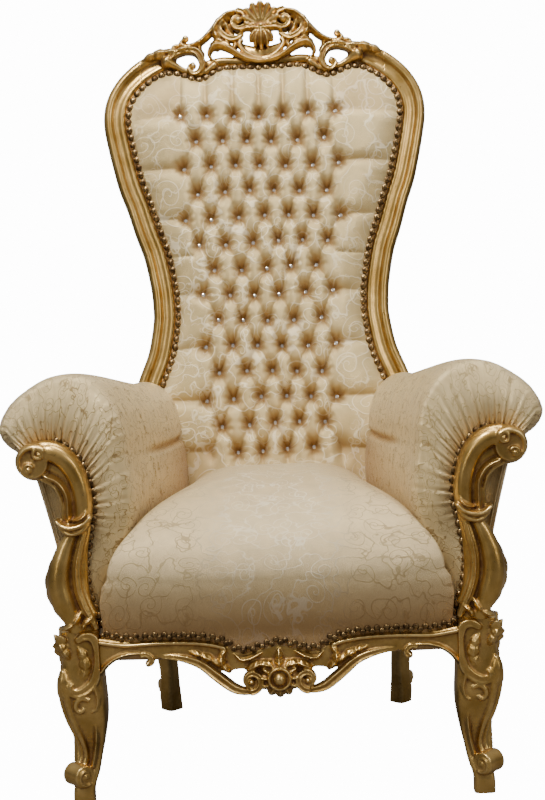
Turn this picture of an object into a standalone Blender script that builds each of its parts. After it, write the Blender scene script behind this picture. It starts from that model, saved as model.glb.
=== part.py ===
"""A high-backed throne: gilded carved frame, pierced crest, rolled arms, cabriole legs, padded upholstery.

Metres, +Z up, front towards -Y. The origin is on the floor under the middle of the throne.
Carved outlines are drawn in millimetres at the sizes in DRAWN_... and scaled to the driving sizes.
"""

import math

import bmesh
import bpy
import numpy as np
from mathutils import Matrix

MM = 0.001

# Clearances and the grain of the carving
JOINT_GAP = 0.0003
PAD_GAP = 0.0015
CARVING_GRAIN = 0.003
TRIM = 0.5

# Plan of the legs
FRONT_SETBACK = 0.360
FRONT_LEG_X = 0.386
REAR_LEG_X = 0.262
REAR_LEG_Y = 0.620

# Front leg
LEG_TOP = 0.345
FRONT_BLOCK_INNER = 0.045
FRONT_BLOCK_BACK = 0.045
FOOT_BLOCK_SIDE = 0.041
FOOT_BLOCK_HEIGHT = 0.030
KNEE_JOINT_DEPTH = 0.090
RAIL_JOINT_DEPTH = 0.070

# Rear leg
REAR_BLOCK_X = 0.280
REAR_BLOCK_Y = 0.525
REAR_BLOCK_SIDE = 0.070

# Seat rails
RAIL_PLATE_FRONT = 0.028
RAIL_PLATE_BACK = 0.006
SIDE_RAIL_THICKNESS = 0.034
SIDE_RAIL_DEPTH = 0.060
REAR_RAIL_THICKNESS = 0.040
REAR_RAIL_DEPTH = 0.070

# Back frame, measured in its own leaning plane
BACK_Y = 0.530
BACK_Z = 0.450
BACK_LEAN = math.radians(12.0)
BACK_WIDTH = 0.728
BACK_LENGTH = 1.1757
MOULDING_WIDTH = 0.048
MOULDING_DEPTH = 0.044
CREST_JOINT_X = 0.275
CREST_JOINT_LOW = 0.930
LOWER_RAIL_LOW = -0.095
LOWER_RAIL_HIGH = -0.035

# Upholstery
PAD_CROWN = 0.045
PAD_EDGE_FRONT = 0.004
PAD_OVERLAP = 0.010
PAD_FOOT = -0.030
PAD_BACK = 0.030
SEAT_HEIGHT = 0.607
SEAT_MIDDLE_Y = 0.250
SEAT_BACK_Y = 0.490
ARM_RISE = 0.490
ARM_PAD_FRONT = 0.0005
ARM_PAD_LIFT = 0.0005
ARM_PAD_REAR = -0.0135
OUTSIDE_PANEL = 0.010
BACK_COVER_MARGIN = 0.014
BACK_COVER_THICKNESS = 0.008
BACK_COVER_CROWN = 0.012

# Facets kept on each carved piece
CREST_TRIANGLES = 1650
FRONT_RAIL_TRIANGLES = 900
FRONT_LEG_TRIANGLES = 470
REAR_LEG_TRIANGLES = 280
ARM_FRONT_TRIANGLES = 420

# Sizes at which the carved outlines were drawn
DRAWN_BACK_WIDTH = 0.728
DRAWN_BACK_LENGTH = 1.1757
DRAWN_LEG_X = 0.386
DRAWN_LEG_TOP = 0.345
DRAWN_ARM_RISE = 0.490

BACK_X_SCALE = BACK_WIDTH / DRAWN_BACK_WIDTH
BACK_Z_SCALE = BACK_LENGTH / DRAWN_BACK_LENGTH
LEG_SCALE = LEG_TOP / DRAWN_LEG_TOP
RAIL_SCALE = FRONT_LEG_X / DRAWN_LEG_X
ARM_SCALE = ARM_RISE / DRAWN_ARM_RISE
ARM_SHIFT = FRONT_LEG_X - DRAWN_LEG_X

for leftover in list(bpy.data.objects):
    bpy.data.objects.remove(leftover, do_unlink=True)
parts = bpy.data.collections.new("throne")
cutters = bpy.data.collections.new("cutters")
bpy.context.scene.collection.children.link(parts)
bpy.context.scene.collection.children.link(cutters)


def empty(name, location, lean=0.0, parent=None):
    """Frame of reference, turned about X by lean."""
    holder = bpy.data.objects.new(name, None)
    parts.objects.link(holder)
    holder.parent = parent
    holder.location = location
    holder.rotation_euler = (lean, 0.0, 0.0)
    return holder


throne = empty("throne_frame", (0.0, -FRONT_SETBACK, 0.0))
back = empty("back_frame", (0.0, BACK_Y, BACK_Z), -BACK_LEAN, throne)


def material(name, colour, roughness, metallic=0.0):
    """Plain finish of one kind of surface."""
    finish = bpy.data.materials.new(name)
    finish.use_nodes = True
    shader = finish.node_tree.nodes["Principled BSDF"]
    shader.inputs["Base Color"].default_value = (*colour, 1.0)
    shader.inputs["Roughness"].default_value = roughness
    shader.inputs["Metallic"].default_value = metallic
    return finish


UNMOVED = Matrix.Identity(4)
GILT = (0.66, 0.44, 0.13)
DAMASK = (0.78, 0.62, 0.40)
WOOD = (0.20, 0.12, 0.06)


def smooth(points, steps=4):
    """Catmull-Rom curve through the points, with the same number of steps on each span."""
    knots = np.asarray(points, float)
    knots = np.vstack([2 * knots[0] - knots[1], knots, 2 * knots[-1] - knots[-2]])
    t = np.linspace(0.0, 1.0, steps, endpoint=False)[:, None]
    spans = []
    for a, b, c, d in zip(knots, knots[1:], knots[2:], knots[3:]):
        cubic = (3 * b - a - 3 * c + d) * t**3
        square = (2 * a - 5 * b + 4 * c - d) * t**2
        spans.append(0.5 * (2 * b + (c - a) * t + square + cubic))
    return np.vstack([*spans, knots[-2:-1]])


def even(path, count):
    """The path again, as count points at equal distances."""
    steps = np.linalg.norm(np.diff(path, axis=0), axis=1)
    run = np.concatenate([[0.0], np.cumsum(steps)])
    places = np.linspace(0.0, run[-1], count)
    return np.column_stack([np.interp(places, run, column) for column in path.T])


def sideways(path):
    """Unit vectors square to a flat path, to its right as it runs."""
    run = np.gradient(path, axis=0)
    run /= np.linalg.norm(run, axis=1)[:, None]
    return np.column_stack([run[:, 1], -run[:, 0]])


def mirrored(half):
    """A right-hand outline that ends on the axis, closed with its left-hand twin."""
    left = half[::-1] * (-1.0, 1.0)
    return np.vstack([half, left[1:]])


def curve_to_stock(stock, curve, matrix):
    """Adds a curve's solid to the stock, its caps welded on."""
    holder = bpy.data.objects.new("stock", curve)
    mesh = bpy.data.meshes.new_from_object(holder)
    mesh.transform(matrix)
    seen = len(stock.verts)
    stock.from_mesh(mesh)
    stock.verts.ensure_lookup_table()
    bmesh.ops.remove_doubles(stock, verts=stock.verts[seen:], dist=1e-6)
    bpy.data.objects.remove(holder)
    bpy.data.curves.remove(curve)
    bpy.data.meshes.remove(mesh)


def add_ball(stock, x, y, z, radii, frame=UNMOVED):
    """Rounded boss."""
    place = frame @ Matrix.Translation((x, y, z)) @ Matrix.Diagonal((*radii, 1.0))
    bmesh.ops.create_uvsphere(stock, u_segments=12, v_segments=8, radius=1.0, matrix=place)


def add_box(stock, low, high):
    """Square block between two corners."""
    low = np.array(low, float)
    high = np.array(high, float)
    place = Matrix.Translation((low + high) / 2) @ Matrix.Diagonal((*(high - low), 1.0))
    bmesh.ops.create_cube(stock, size=1.0, matrix=place)


def add_roll(stock, path, y, half_depth, frame=UNMOVED):
    """Carved roll along (x, z, half width) in the XZ plane, round ended, half_depth to each side of y."""
    path = np.asarray(path, float)
    stretch = half_depth / path[:, 2].mean()
    curve = bpy.data.curves.new("roll", "CURVE")
    curve.dimensions = "3D"
    curve.bevel_depth = 1.0
    curve.bevel_resolution = 2
    curve.use_fill_caps = True
    spline = curve.splines.new("POLY")
    spline.points.add(len(path) - 1)
    for point, (x, z, width) in zip(spline.points, path):
        point.co = (x, y / stretch, z, 1.0)
        point.radius = width
    curve_to_stock(stock, curve, frame @ Matrix.Diagonal((1.0, stretch, 1.0, 1.0)))
    for x, z, width in (path[0], path[-1]):
        add_ball(stock, x, y, z, (width, width * stretch, width), frame)


def add_board(stock, outline, front, behind):
    """Flat plate of an (x, z) outline, between two depths in Y."""
    curve = bpy.data.curves.new("board", "CURVE")
    curve.dimensions = "2D"
    curve.fill_mode = "BOTH"
    curve.extrude = (behind - front) / 2
    spline = curve.splines.new("POLY")
    spline.use_cyclic_u = True
    spline.points.add(len(outline) - 1)
    for point, (x, z) in zip(spline.points, outline):
        point.co = (x, z, 0.0, 1.0)
    upright = Matrix.Rotation(math.pi / 2, 4, "X")
    curve_to_stock(stock, curve, Matrix.Translation((0.0, (front + behind) / 2, 0.0)) @ upright)


def add_loft(stock, rings):
    """Skin over a row of closed rings, capped at both ends, creased alike on both hands."""
    grid = [[stock.verts.new(point) for point in ring] for ring in rings]
    skin = [stock.faces.new(grid[0][::-1]), stock.faces.new(grid[-1])]
    for low, high in zip(grid, grid[1:]):
        for i in range(len(low)):
            j = (i + 1) % len(low)
            skin.append(stock.faces.new((low[i], low[j], high[j], high[i])))
    bmesh.ops.triangulate(stock, faces=skin, quad_method="SHORT_EDGE")


def add_copy(stock, matrix):
    """Copies all the stock through a matrix, which may mirror it."""
    everything = stock.verts[:] + stock.edges[:] + stock.faces[:]
    copied = bmesh.ops.duplicate(stock, geom=everything)["geom"]
    moved = [item for item in copied if isinstance(item, bmesh.types.BMVert)]
    bmesh.ops.transform(stock, matrix=matrix, verts=moved)


def spiral(x, z, outer, inner, start, turn, thick, thin, steps=22):
    """Scroll's eye: (x, z, half width) winding in from outer to inner radius, angles in degrees."""
    share = np.linspace(0.0, 1.0, steps)
    angle = np.radians(start + turn * share)
    radius = outer + (inner - outer) * share
    width = thick + (thin - thick) * share
    return np.column_stack([x + radius * np.cos(angle), z + radius * np.sin(angle), width])


def finished(name, stock, parent, finish):
    """Object made of the stock, in the parent's frame."""
    bmesh.ops.recalc_face_normals(stock, faces=stock.faces[:])
    if stock.calc_volume(signed=True) < 0:
        bmesh.ops.reverse_faces(stock, faces=stock.faces[:])
    mesh = bpy.data.meshes.new(name)
    stock.to_mesh(mesh)
    stock.free()
    piece = bpy.data.objects.new(name, mesh)
    piece.parent = parent
    mesh.materials.append(finish)
    parts.objects.link(piece)
    return piece


def evaluated_mesh(piece):
    """Mesh of the piece with its modifiers applied, in its parent's frame."""
    bpy.context.view_layer.update()
    graph = bpy.context.evaluated_depsgraph_get()
    return bpy.data.meshes.new_from_object(piece.evaluated_get(graph))


def carve(piece, triangles):
    """Fuses overlapping shapes into one body and thins its facets to about that many triangles."""
    fuse = piece.modifiers.new("fuse", "REMESH")
    fuse.mode = "VOXEL"
    fuse.voxel_size = CARVING_GRAIN
    fused = evaluated_mesh(piece)
    fused.calc_loop_triangles()
    thin = piece.modifiers.new("thin", "DECIMATE")
    thin.ratio = min(1.0, triangles / len(fused.loop_triangles))
    bpy.data.meshes.remove(fused)


def cut(piece, name, stock, frame, operation="DIFFERENCE"):
    """Trims the piece with a cutter made of the stock, which is drawn in the given frame."""
    tool = finished(name, stock, frame, piece.data.materials[0])
    parts.objects.unlink(tool)
    cutters.objects.link(tool)
    tool.hide_render = True
    tool.display_type = "WIRE"
    trim = piece.modifiers.new(name, "BOOLEAN")
    trim.operation = operation
    trim.solver = "EXACT"
    trim.object = tool


def cut_box(piece, name, low, high, frame=None):
    """Trims the piece with a block, drawn in the piece's own frame unless another is given."""
    stock = bmesh.new()
    add_box(stock, low, high)
    cut(piece, name, stock, frame or piece.parent)


def left_twin(piece, name, finish):
    """Left-hand piece, the mirror image of the finished right-hand one."""
    mesh = evaluated_mesh(piece)
    mesh.name = name
    mesh.transform(Matrix.Diagonal((-1.0, 1.0, 1.0, 1.0)))
    mesh.flip_normals()
    mesh.materials.clear()
    mesh.materials.append(finish)
    twin = bpy.data.objects.new(name, mesh)
    twin.parent = piece.parent
    parts.objects.link(twin)


def back_drawing(points):
    """Drawn millimetres of the back, as metres in its leaning plane; a third column is a width."""
    drawn = np.array(points, float) * MM
    drawn[:, 0] *= BACK_X_SCALE
    drawn[:, 1] *= BACK_Z_SCALE
    return drawn


def rail_drawing(points):
    """Drawn millimetres of the front rail, as metres under the tops of the legs."""
    drawn = np.array(points, float) * MM
    drawn[:, 0] *= RAIL_SCALE
    drawn[:, 1] += LEG_TOP - DRAWN_LEG_TOP
    return drawn


def arm_drawing(points):
    """Drawn millimetres of the right arm, as metres above its leg."""
    drawn = np.array(points, float) * MM
    drawn[:, 0] += ARM_SHIFT
    drawn[:, 1] = LEG_TOP + (drawn[:, 1] - DRAWN_LEG_TOP) * ARM_SCALE
    return drawn


def leaning_y(z, depth):
    """World depth of a point of the back that stands at height z and this far behind its plane."""
    along = (z - BACK_Z + depth * math.sin(BACK_LEAN)) / math.cos(BACK_LEAN)
    return BACK_Y + depth * math.cos(BACK_LEAN) + along * math.sin(BACK_LEAN)


# The edge of the padded back, drawn up its right side and over the top to the middle
PAD_EDGE = (
    (236, -110), (240, -30), (252, 60), (266, 150), (268, 220), (256, 290), (228, 365), (214, 440),
    (213, 480), (217, 530), (231, 603), (250, 660), (267, 717), (284, 765), (295, 809), (306, 860),
    (313, 905), (309, 940), (293, 970), (272, 992), (250, 1008), (228, 1018), (205, 1021),
    (185, 1017), (165, 1008), (145, 1002), (128, 1008), (105, 1022), (80, 1028), (40, 1027), (0, 1025),
)
EDGE_STEPS = 3
SHOULDER = 18 * EDGE_STEPS
PAST_JOINT = 20 * EDGE_STEPS
pad_edge = smooth(back_drawing(PAD_EDGE), EDGE_STEPS)

# Section of the back's moulding: (across, depth) as shares of its width and depth, outer side first
MOULDING = (
    (-0.54, 0.68), (-0.56, 0.11), (-0.46, -0.18), (-0.29, -0.27), (-0.12, -0.14), (0.08, -0.11),
    (0.25, -0.23), (0.38, -0.14), (0.46, 0.0), (0.46, 0.68),
)
moulding_line = pad_edge + sideways(pad_edge) * MOULDING_WIDTH / 2


def add_moulding(stock, path, scales):
    """Moulding along an upward path of the right side of the back, scaled at each point of it."""
    rings = []
    for place, outward, scale in zip(path, sideways(path), scales):
        ring = []
        for across, depth in MOULDING:
            x, z = place - outward * across * MOULDING_WIDTH * scale
            ring.append((x, depth * MOULDING_DEPTH, z))
        rings.append(ring)
    add_loft(stock, rings)


# Stiles of the back
stock = bmesh.new()
stile_line = even(moulding_line[: PAST_JOINT + 1], 25)
add_moulding(stock, stile_line, np.ones(len(stile_line)))
stile = finished("back_stile_right", stock, back, material("right stile gilt", GILT, 0.35, 0.8))
cut_box(
    stile,
    "stile_crest_joint",
    (-TRIM, -TRIM, CREST_JOINT_LOW),
    (CREST_JOINT_X + JOINT_GAP / 2, TRIM, BACK_LENGTH + TRIM),
)
cut_box(stile, "stile_foot", (-TRIM, 0.0, 0.0), (TRIM, 1.0, LEG_TOP + JOINT_GAP), throne)
left_twin(stile, "back_stile_left", material("left stile gilt", GILT, 0.35, 0.8))

# The opening of the frame: along the stiles' inner sides, then along the crest
stile_inner = stile_line - sideways(stile_line) * MOULDING[-1][0] * MOULDING_WIDTH
under_crest = (pad_edge - sideways(pad_edge) * (MOULDING[-1][0] - 0.5) * MOULDING_WIDTH)[SHOULDER:]
on_stile = (stile_inner[:, 1] < CREST_JOINT_LOW) | (stile_inner[:, 0] > CREST_JOINT_X)
opening = np.vstack([stile_inner[on_stile], under_crest[under_crest[:, 0] < CREST_JOINT_X]])
opening[-1, 0] = 0.0

# Lower rail of the back, between the stiles
heights = np.linspace(LOWER_RAIL_LOW, LOWER_RAIL_HIGH, 3)
lower_side = np.interp(heights, opening[:9, 1], opening[:9, 0]) - JOINT_GAP
lower_half = np.column_stack([lower_side, heights])
stock = bmesh.new()
add_board(stock, np.vstack([lower_half, lower_half[::-1] * (-1.0, 1.0)]), 0.0, PAD_BACK)
finished("back_rail_lower", stock, back, material("lower rail wood", WOOD, 0.6))

# Crest rail, right half: (middle depth, half depth, (x, z, half width) points) in mm
CREST_CARVING = (
    # leaf that lies over the end of the moulding
    (-6, 17, ((190, 1064, 7), (215, 1060, 12), (240, 1056, 12), (262, 1049, 8), (270, 1044, 4))),
    # strip under the scrolls, along the nails
    (-4, 18, ((215, 1040, 15), (196, 1030, 9), (180, 1021, 7), (165, 1016, 6), (150, 1009, 6),
              (130, 1015, 6), (108, 1030, 8))),
    # large side scroll and its tail
    (-8, 20, ((205, 1052, 8), (188, 1060, 8), (169, 1064, 8), (150, 1060, 8), (139, 1046, 8),
              (136, 1030, 7), (143, 1016, 6), (155, 1011, 5), (163, 1018, 5), (165, 1028, 4.5),
              (156, 1034, 4))),
    # long leaf from the middle to the side scroll
    (-8, 20, ((0, 1036, 6), (30, 1040, 7), (52, 1052, 7), (75, 1066, 8), (98, 1074, 8),
              (112, 1068, 8), (118, 1054, 6), (114, 1046, 3))),
    # ground along the pad
    (0, 16, ((128, 1034, 9), (90, 1040, 9), (50, 1037, 9), (0, 1034, 9))),
    # upper rail that rises to the shell's scroll
    (-8, 19, ((172, 1092, 5), (180, 1087, 5), (182, 1079, 6), (170, 1074, 7), (150, 1078, 7),
              (130, 1090, 7), (112, 1108, 8), (97, 1127, 8), (78, 1144, 8), (57, 1150, 7))),
    # band under that scroll
    (-6, 16, ((50, 1092, 6), (70, 1088, 7), (87, 1098, 7), (95, 1115, 6), (88, 1136, 5))),
    # struts between the rails
    (-4, 14, ((62, 1060, 6), (62, 1085, 6))),
    (-4, 14, ((101, 1068, 6), (104, 1092, 6))),
    (-4, 16, ((140, 1058, 8), (142, 1078, 7))),
    (-4, 12, ((176, 1062, 5), (184, 1078, 5))),
)
# Scroll eyes, cartouche, palmette and beads: (x, depth, z) and (half width, half depth, half height)
CREST_BOSSES = (
    ((156, -14, 1027), (8, 14, 8)), ((172, -12, 1092), (8, 14, 8)), ((194, -8, 1077), (7, 11, 7)),
    ((51, -20, 1127), (8, 14, 8)), ((0, -10, 1062), (42, 24, 22)), ((24, -16, 1082), (10, 14, 12)),
    ((0, -16, 1090), (10, 18, 14)), ((26, -14, 1101), (9, 14, 8)), ((0, -12, 1112), (30, 18, 12)),
)
SHELL_FOOT = 1116
# Ribs of the right half of the shell: (degrees from upright, reach, half width)
SHELL_RIBS = ((0, 51.7, 8.0), (20, 51, 7.5), (40, 48, 7.5), (61, 42, 7.0))
stock = bmesh.new()
for middle, half_depth, points in CREST_CARVING:
    add_roll(stock, smooth(back_drawing(points)), middle * MM, half_depth * MM)
for (x, y, z), radii in CREST_BOSSES:
    boss_x, boss_z = back_drawing([(x, z)])[0]
    add_ball(stock, boss_x, y * MM, boss_z, np.array(radii) * MM)
for degrees, reach, width in SHELL_RIBS:
    lean = math.radians(degrees)
    tip = (reach * math.sin(lean), SHELL_FOOT + reach * math.cos(lean), width)
    add_roll(stock, back_drawing([(0, SHELL_FOOT, 4), tip]), -12 * MM, 14 * MM)
add_roll(stock, back_drawing(spiral(51, 1127, 23, 8, 90, 400, 6.5, 4.0)), -12 * MM, 17 * MM)
# the moulding runs on from the stile and dies away under the leaf
crest_end = back_drawing(((238, 1039, 20), (215, 1043, 15), (196, 1040, 10)))
joint_run = moulding_line[SHOULDER : PAST_JOINT + 1 : EDGE_STEPS]
crest_line = np.vstack([joint_run, crest_end[:, :2]])
crest_scales = np.append(np.ones(len(joint_run)), crest_end[:, 2] * 2 / MOULDING_WIDTH)
crest_path = smooth(np.column_stack([crest_line, crest_scales]), EDGE_STEPS)
add_moulding(stock, crest_path[:, :2], crest_path[:, 2])
add_copy(stock, Matrix.Diagonal((-1.0, 1.0, 1.0, 1.0)))
crest = finished("crest_rail", stock, back, material("crest gilt", GILT, 0.35, 0.8))
carve(crest, CREST_TRIANGLES)
stock = bmesh.new()
add_board(stock, mirrored(opening[8:]), -TRIM, TRIM)
cut(crest, "crest_pad_rebate", stock, back)
crest_end_x = CREST_JOINT_X - JOINT_GAP / 2
for name, low, high in (("crest_left_joint", -TRIM, -crest_end_x), ("crest_right_joint", crest_end_x, TRIM)):
    cut_box(crest, name, (low, -TRIM, 0.0), (high, TRIM, BACK_LENGTH + TRIM))
cut_box(crest, "crest_back", (-TRIM, PAD_BACK, 0.0), (TRIM, TRIM, BACK_LENGTH + TRIM))

# Front rail, right half: its scalloped top, its underside, and the carving on it
RAIL_WAVE = (
    (0, 310), (39, 299.5), (64, 294), (85, 300), (100, 312), (130, 320.5), (173, 325), (229, 326),
    (286, 324), (315, 327), (345, 332),
)
RAIL_UNDERSIDE = (
    (345, 261), (328, 277), (311, 290), (290, 296), (258, 295), (240, 284), (225, 290), (190, 288),
    (172, 284), (147, 272), (125, 263), (100, 259), (70, 262), (40, 254), (20, 230), (0, 225),
)
RAIL_CARVING = (
    # band that swings from the underside into the eye beside the rosette
    (-20, 18, ((222, 291, 4), (200, 290, 6), (172, 284, 8), (147, 273, 9), (125, 255, 10),
               (102, 236, 10), (85, 224, 9), (64, 218, 7), (45, 220, 6))),
    # small drop scroll
    (-18, 17, ((262, 296, 5), (252, 297, 5), (243, 290, 5.5), (243, 281, 6), (250, 277, 5))),
    # bead along the underside, up to the leg
    (-20, 15, ((348, 258, 6), (338, 268, 6), (328, 280, 6), (311, 292, 6), (290, 299, 6), (266, 300, 5))),
    # rising leaf above the opening
    (-22, 16, ((95, 262, 5), (106, 278, 7), (106, 292, 6), (100, 303, 3))),
    # leaf from the eye towards the middle
    (-24, 17, ((60, 262, 6), (42, 272, 7), (24, 270, 7), (12, 262, 5))),
    # pointed leaf over the rosette
    (-22, 15, ((0, 262, 10), (0, 280, 8), (0, 300, 3))),
)
ROSETTE_Z = 244.7
PETAL_DEGREES = (-90, -60, -30, 0, 30)
stock = bmesh.new()
wave = smooth(rail_drawing(RAIL_WAVE), EDGE_STEPS)
underside = smooth(rail_drawing(RAIL_UNDERSIDE), EDGE_STEPS)
uncut_top = wave + (0.0, 5 * MM)
add_board(stock, mirrored(np.vstack([uncut_top, underside]))[:-1], -RAIL_PLATE_FRONT, RAIL_PLATE_BACK)
for middle, half_depth, points in RAIL_CARVING:
    add_roll(stock, smooth(rail_drawing(points)), middle * MM, half_depth * MM)
add_roll(stock, rail_drawing(spiral(53.5, 239, 20, 7, -90, -420, 7, 4.5)), -24 * MM, 18 * MM)
add_roll(stock, rail_drawing(spiral(0, ROSETTE_Z, 20, 20, -90, 180, 4.5, 4.5, 14)), -26 * MM, 22 * MM)
rosette_z = rail_drawing([(0, ROSETTE_Z)])[0, 1]
for radius, front in ((26, 38), (15, 60)):
    half_depth = (front + 4) / 2 * MM
    add_ball(stock, 0.0, half_depth - front * MM, rosette_z, (radius * MM, half_depth, radius * MM))
for degrees in PETAL_DEGREES:
    turn = math.radians(degrees)
    petal = (30 * MM * math.cos(turn), rosette_z + 30 * MM * math.sin(turn))
    add_ball(stock, petal[0], -20 * MM, petal[1], (9 * MM, 22 * MM, 9 * MM))
add_copy(stock, Matrix.Diagonal((-1.0, 1.0, 1.0, 1.0)))
front_rail = finished("front_rail", stock, throne, material("front rail gilt", GILT, 0.35, 0.8))
carve(front_rail, FRONT_RAIL_TRIANGLES)
stock = bmesh.new()
past_end = np.array([(TRIM, wave[-1, 1]), (TRIM, TRIM), (0.0, TRIM)])
add_board(stock, mirrored(np.vstack([wave, past_end]))[:-1], -TRIM, TRIM)
cut(front_rail, "front_rail_top", stock, throne)
rail_end = FRONT_LEG_X - FRONT_BLOCK_INNER - JOINT_GAP
for name, low, high in (("rail_left_joint", -TRIM, -rail_end), ("rail_right_joint", rail_end, TRIM)):
    cut_box(front_rail, name, (low, -TRIM, 0.0), (high, TRIM, 1.0))
cut_box(front_rail, "rail_back", (-TRIM, RAIL_PLATE_BACK, 0.0), (TRIM, TRIM, 1.0))

# Front leg, right-hand: (height, shift of its middle inwards and backwards, half width) in mm
FRONT_LEG = (
    (355, -7.5, 37.5), (325, -7.5, 37.5), (297, -8.5, 37.5), (266, -8.5, 40), (235, -8, 42),
    (197, -10, 42), (165, -14.5, 36), (122, -19.5, 23.5), (90, -17, 19), (60, -9.5, 20.5),
    (30, -0.5, 20.5), (-10, 0, 20.5),
)
# C-scroll on each of the two outer faces, drawn beside the leg's axis: (across, height, half width)
LEG_SCROLL = (
    (-4, 333, 6), (-20, 341, 7), (-35, 337, 7), (-44, 322, 6.5), (-46, 300, 6), (-44, 275, 6),
    (-36, 249, 7), (-20, 231, 7), (0, 224, 7), (14, 231, 6), (12, 243, 5),
)
LEG_EAR = ((14, 300, 8), (24, 318, 9), (33, 335, 6), (38, 341, 3))
LEG_HOOK = ((-34, 236, 7), (-38, 214, 6), (-34, 196, 5), (-26, 190, 4))
LEG_REED = ((27, 236, 8), (25, 205, 7), (17, 168, 6), (3, 125, 5), (-2, 95, 5), (6, 70, 6))
SECTION_SIDES = 16


def square_ring(middle, half, z, turn=0.0):
    """Square section with well rounded corners, as a ring of points at height z."""
    around = np.radians(turn) + np.linspace(0.0, 2 * np.pi, SECTION_SIDES, endpoint=False)
    plain = around - np.radians(turn)
    x = np.sign(np.cos(plain)) * np.sqrt(np.abs(np.cos(plain)))
    y = np.sign(np.sin(plain)) * np.sqrt(np.abs(np.sin(plain)))
    c, s = math.cos(math.radians(turn)), math.sin(math.radians(turn))
    ring = np.column_stack([c * x - s * y, s * x + c * y]) * half + middle
    return [(a, b, z) for a, b in ring]


def add_scroll_end(stock, middle, z, radius, half_length, degrees):
    """Scroll seen end on from both sides: a level roller whose axis is turned by degrees about Z."""
    place = Matrix.Translation((*middle, z)) @ Matrix.Rotation(math.radians(degrees), 4, "Z")
    place = place @ Matrix.Rotation(math.pi / 2, 4, "Y")
    bmesh.ops.create_cone(
        stock, cap_ends=True, segments=16, radius1=radius, radius2=radius, depth=2 * half_length, matrix=place
    )


stock = bmesh.new()
leg_x = FRONT_LEG_X
front_face = Matrix.Translation((leg_x, 0.0, 0.0)) @ Matrix.Diagonal((1.0, 1.0, LEG_SCALE, 1.0))
# the leg is alike on its front and its outer side: a reflection that swaps the two
side_face = front_face @ Matrix(((0, -1, 0, 0), (-1, 0, 0, 0), (0, 0, 1, 0), (0, 0, 0, 1)))
corner = front_face @ Matrix.Rotation(math.radians(-45), 4, "Z")
for face in (front_face, side_face):
    add_roll(stock, smooth(np.array(LEG_SCROLL) * MM, 3), -30 * MM, 9 * MM, face)
    add_roll(stock, smooth(np.array(LEG_EAR) * MM, 3), -26 * MM, 12 * MM, face)
    add_roll(stock, smooth(np.array(LEG_HOOK) * MM, 3), -26 * MM, 10 * MM, face)
for reed in (-7 * MM, 7 * MM):
    add_roll(stock, smooth(np.array(LEG_REED) * (1.38 * MM, MM, MM), 3), reed, 6 * MM, corner)
rings = []
for z, shift, half in smooth(FRONT_LEG, 2) * MM:
    rings.append(square_ring((leg_x + shift, -shift), half, z * LEG_SCALE))
add_loft(stock, rings)
add_scroll_end(stock, (leg_x + 10 * MM, -10 * MM), 57 * MM * LEG_SCALE, 18 * MM, 21 * MM, 45)
add_scroll_end(stock, (leg_x + 19 * MM, -19 * MM), 238 * MM * LEG_SCALE, 15 * MM, 17 * MM, 45)
foot_half = FOOT_BLOCK_SIDE / 2
add_box(stock, (leg_x - foot_half, -foot_half, -0.01), (leg_x + foot_half, foot_half, FOOT_BLOCK_HEIGHT))
front_leg = finished("front_leg_right", stock, throne, material("right front leg gilt", GILT, 0.35, 0.8))
carve(front_leg, FRONT_LEG_TRIANGLES)
block_x = FRONT_LEG_X - FRONT_BLOCK_INNER
for name, low, high in (
    ("leg_top", (0.0, -TRIM, LEG_TOP), (1.0, TRIM, 1.0)),
    ("leg_foot", (0.0, -TRIM, -TRIM), (1.0, TRIM, 0.0)),
    ("leg_rail_joint", (0.0, -TRIM, LEG_TOP - KNEE_JOINT_DEPTH), (block_x, TRIM, 1.0)),
    ("leg_side_rail_joint", (0.0, FRONT_BLOCK_BACK, LEG_TOP - RAIL_JOINT_DEPTH), (1.0, TRIM, 1.0)),
):
    cut_box(front_leg, name, low, high)
left_twin(front_leg, "front_leg_left", material("left front leg gilt", GILT, 0.35, 0.8))

# Rear leg, right-hand: (height, bow outwards from its straight line, half width) in mm
REAR_LEG = (
    (310, 0, 32), (275, 3, 32), (235, 5, 29), (190, 2, 24), (140, -5, 20), (95, -7, 18),
    (60, -3, 19), (30, 0, 20.5), (-10, 0, 20.5),
)
REAR_TURN = 45.0
stock = bmesh.new()
top_xy = np.array((REAR_BLOCK_X, REAR_BLOCK_Y))
foot_xy = np.array((REAR_LEG_X, REAR_LEG_Y))
outwards = np.array((math.sqrt(0.5), math.sqrt(0.5)))
rings = []
for z, bow, half in smooth(REAR_LEG, 2) * MM:
    share = min(1.0, max(0.0, z * LEG_SCALE / LEG_TOP))
    middle = foot_xy + (top_xy - foot_xy) * share + outwards * bow
    rings.append(square_ring(middle, half, z * LEG_SCALE, REAR_TURN * (1 - share)))
add_loft(stock, rings)
add_scroll_end(stock, foot_xy + outwards * 12 * MM, 56 * MM * LEG_SCALE, 17 * MM, 19 * MM, -45)
half_block = REAR_BLOCK_SIDE / 2
block_low = (REAR_BLOCK_X - half_block, REAR_BLOCK_Y - half_block, 0.275 * LEG_SCALE)
add_box(stock, block_low, (REAR_BLOCK_X + half_block, REAR_BLOCK_Y + half_block, LEG_TOP + 0.01))
rear_leg = finished("rear_leg_right", stock, throne, material("right rear leg gilt", GILT, 0.35, 0.8))
carve(rear_leg, REAR_LEG_TRIANGLES)
for name, low, high in (
    ("rear_top", (0.0, -TRIM, LEG_TOP), (1.0, 1.5, 1.0)),
    ("rear_foot", (0.0, -TRIM, -TRIM), (1.0, 1.5, 0.0)),
    ("rear_side_joint", (0.0, -TRIM, LEG_TOP - RAIL_JOINT_DEPTH), (1.0, REAR_BLOCK_Y - half_block, 1.0)),
    ("rear_rail_joint", (0.0, -TRIM, LEG_TOP - RAIL_JOINT_DEPTH), (REAR_BLOCK_X - half_block, 1.5, 1.0)),
):
    cut_box(rear_leg, name, low, high)
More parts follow.
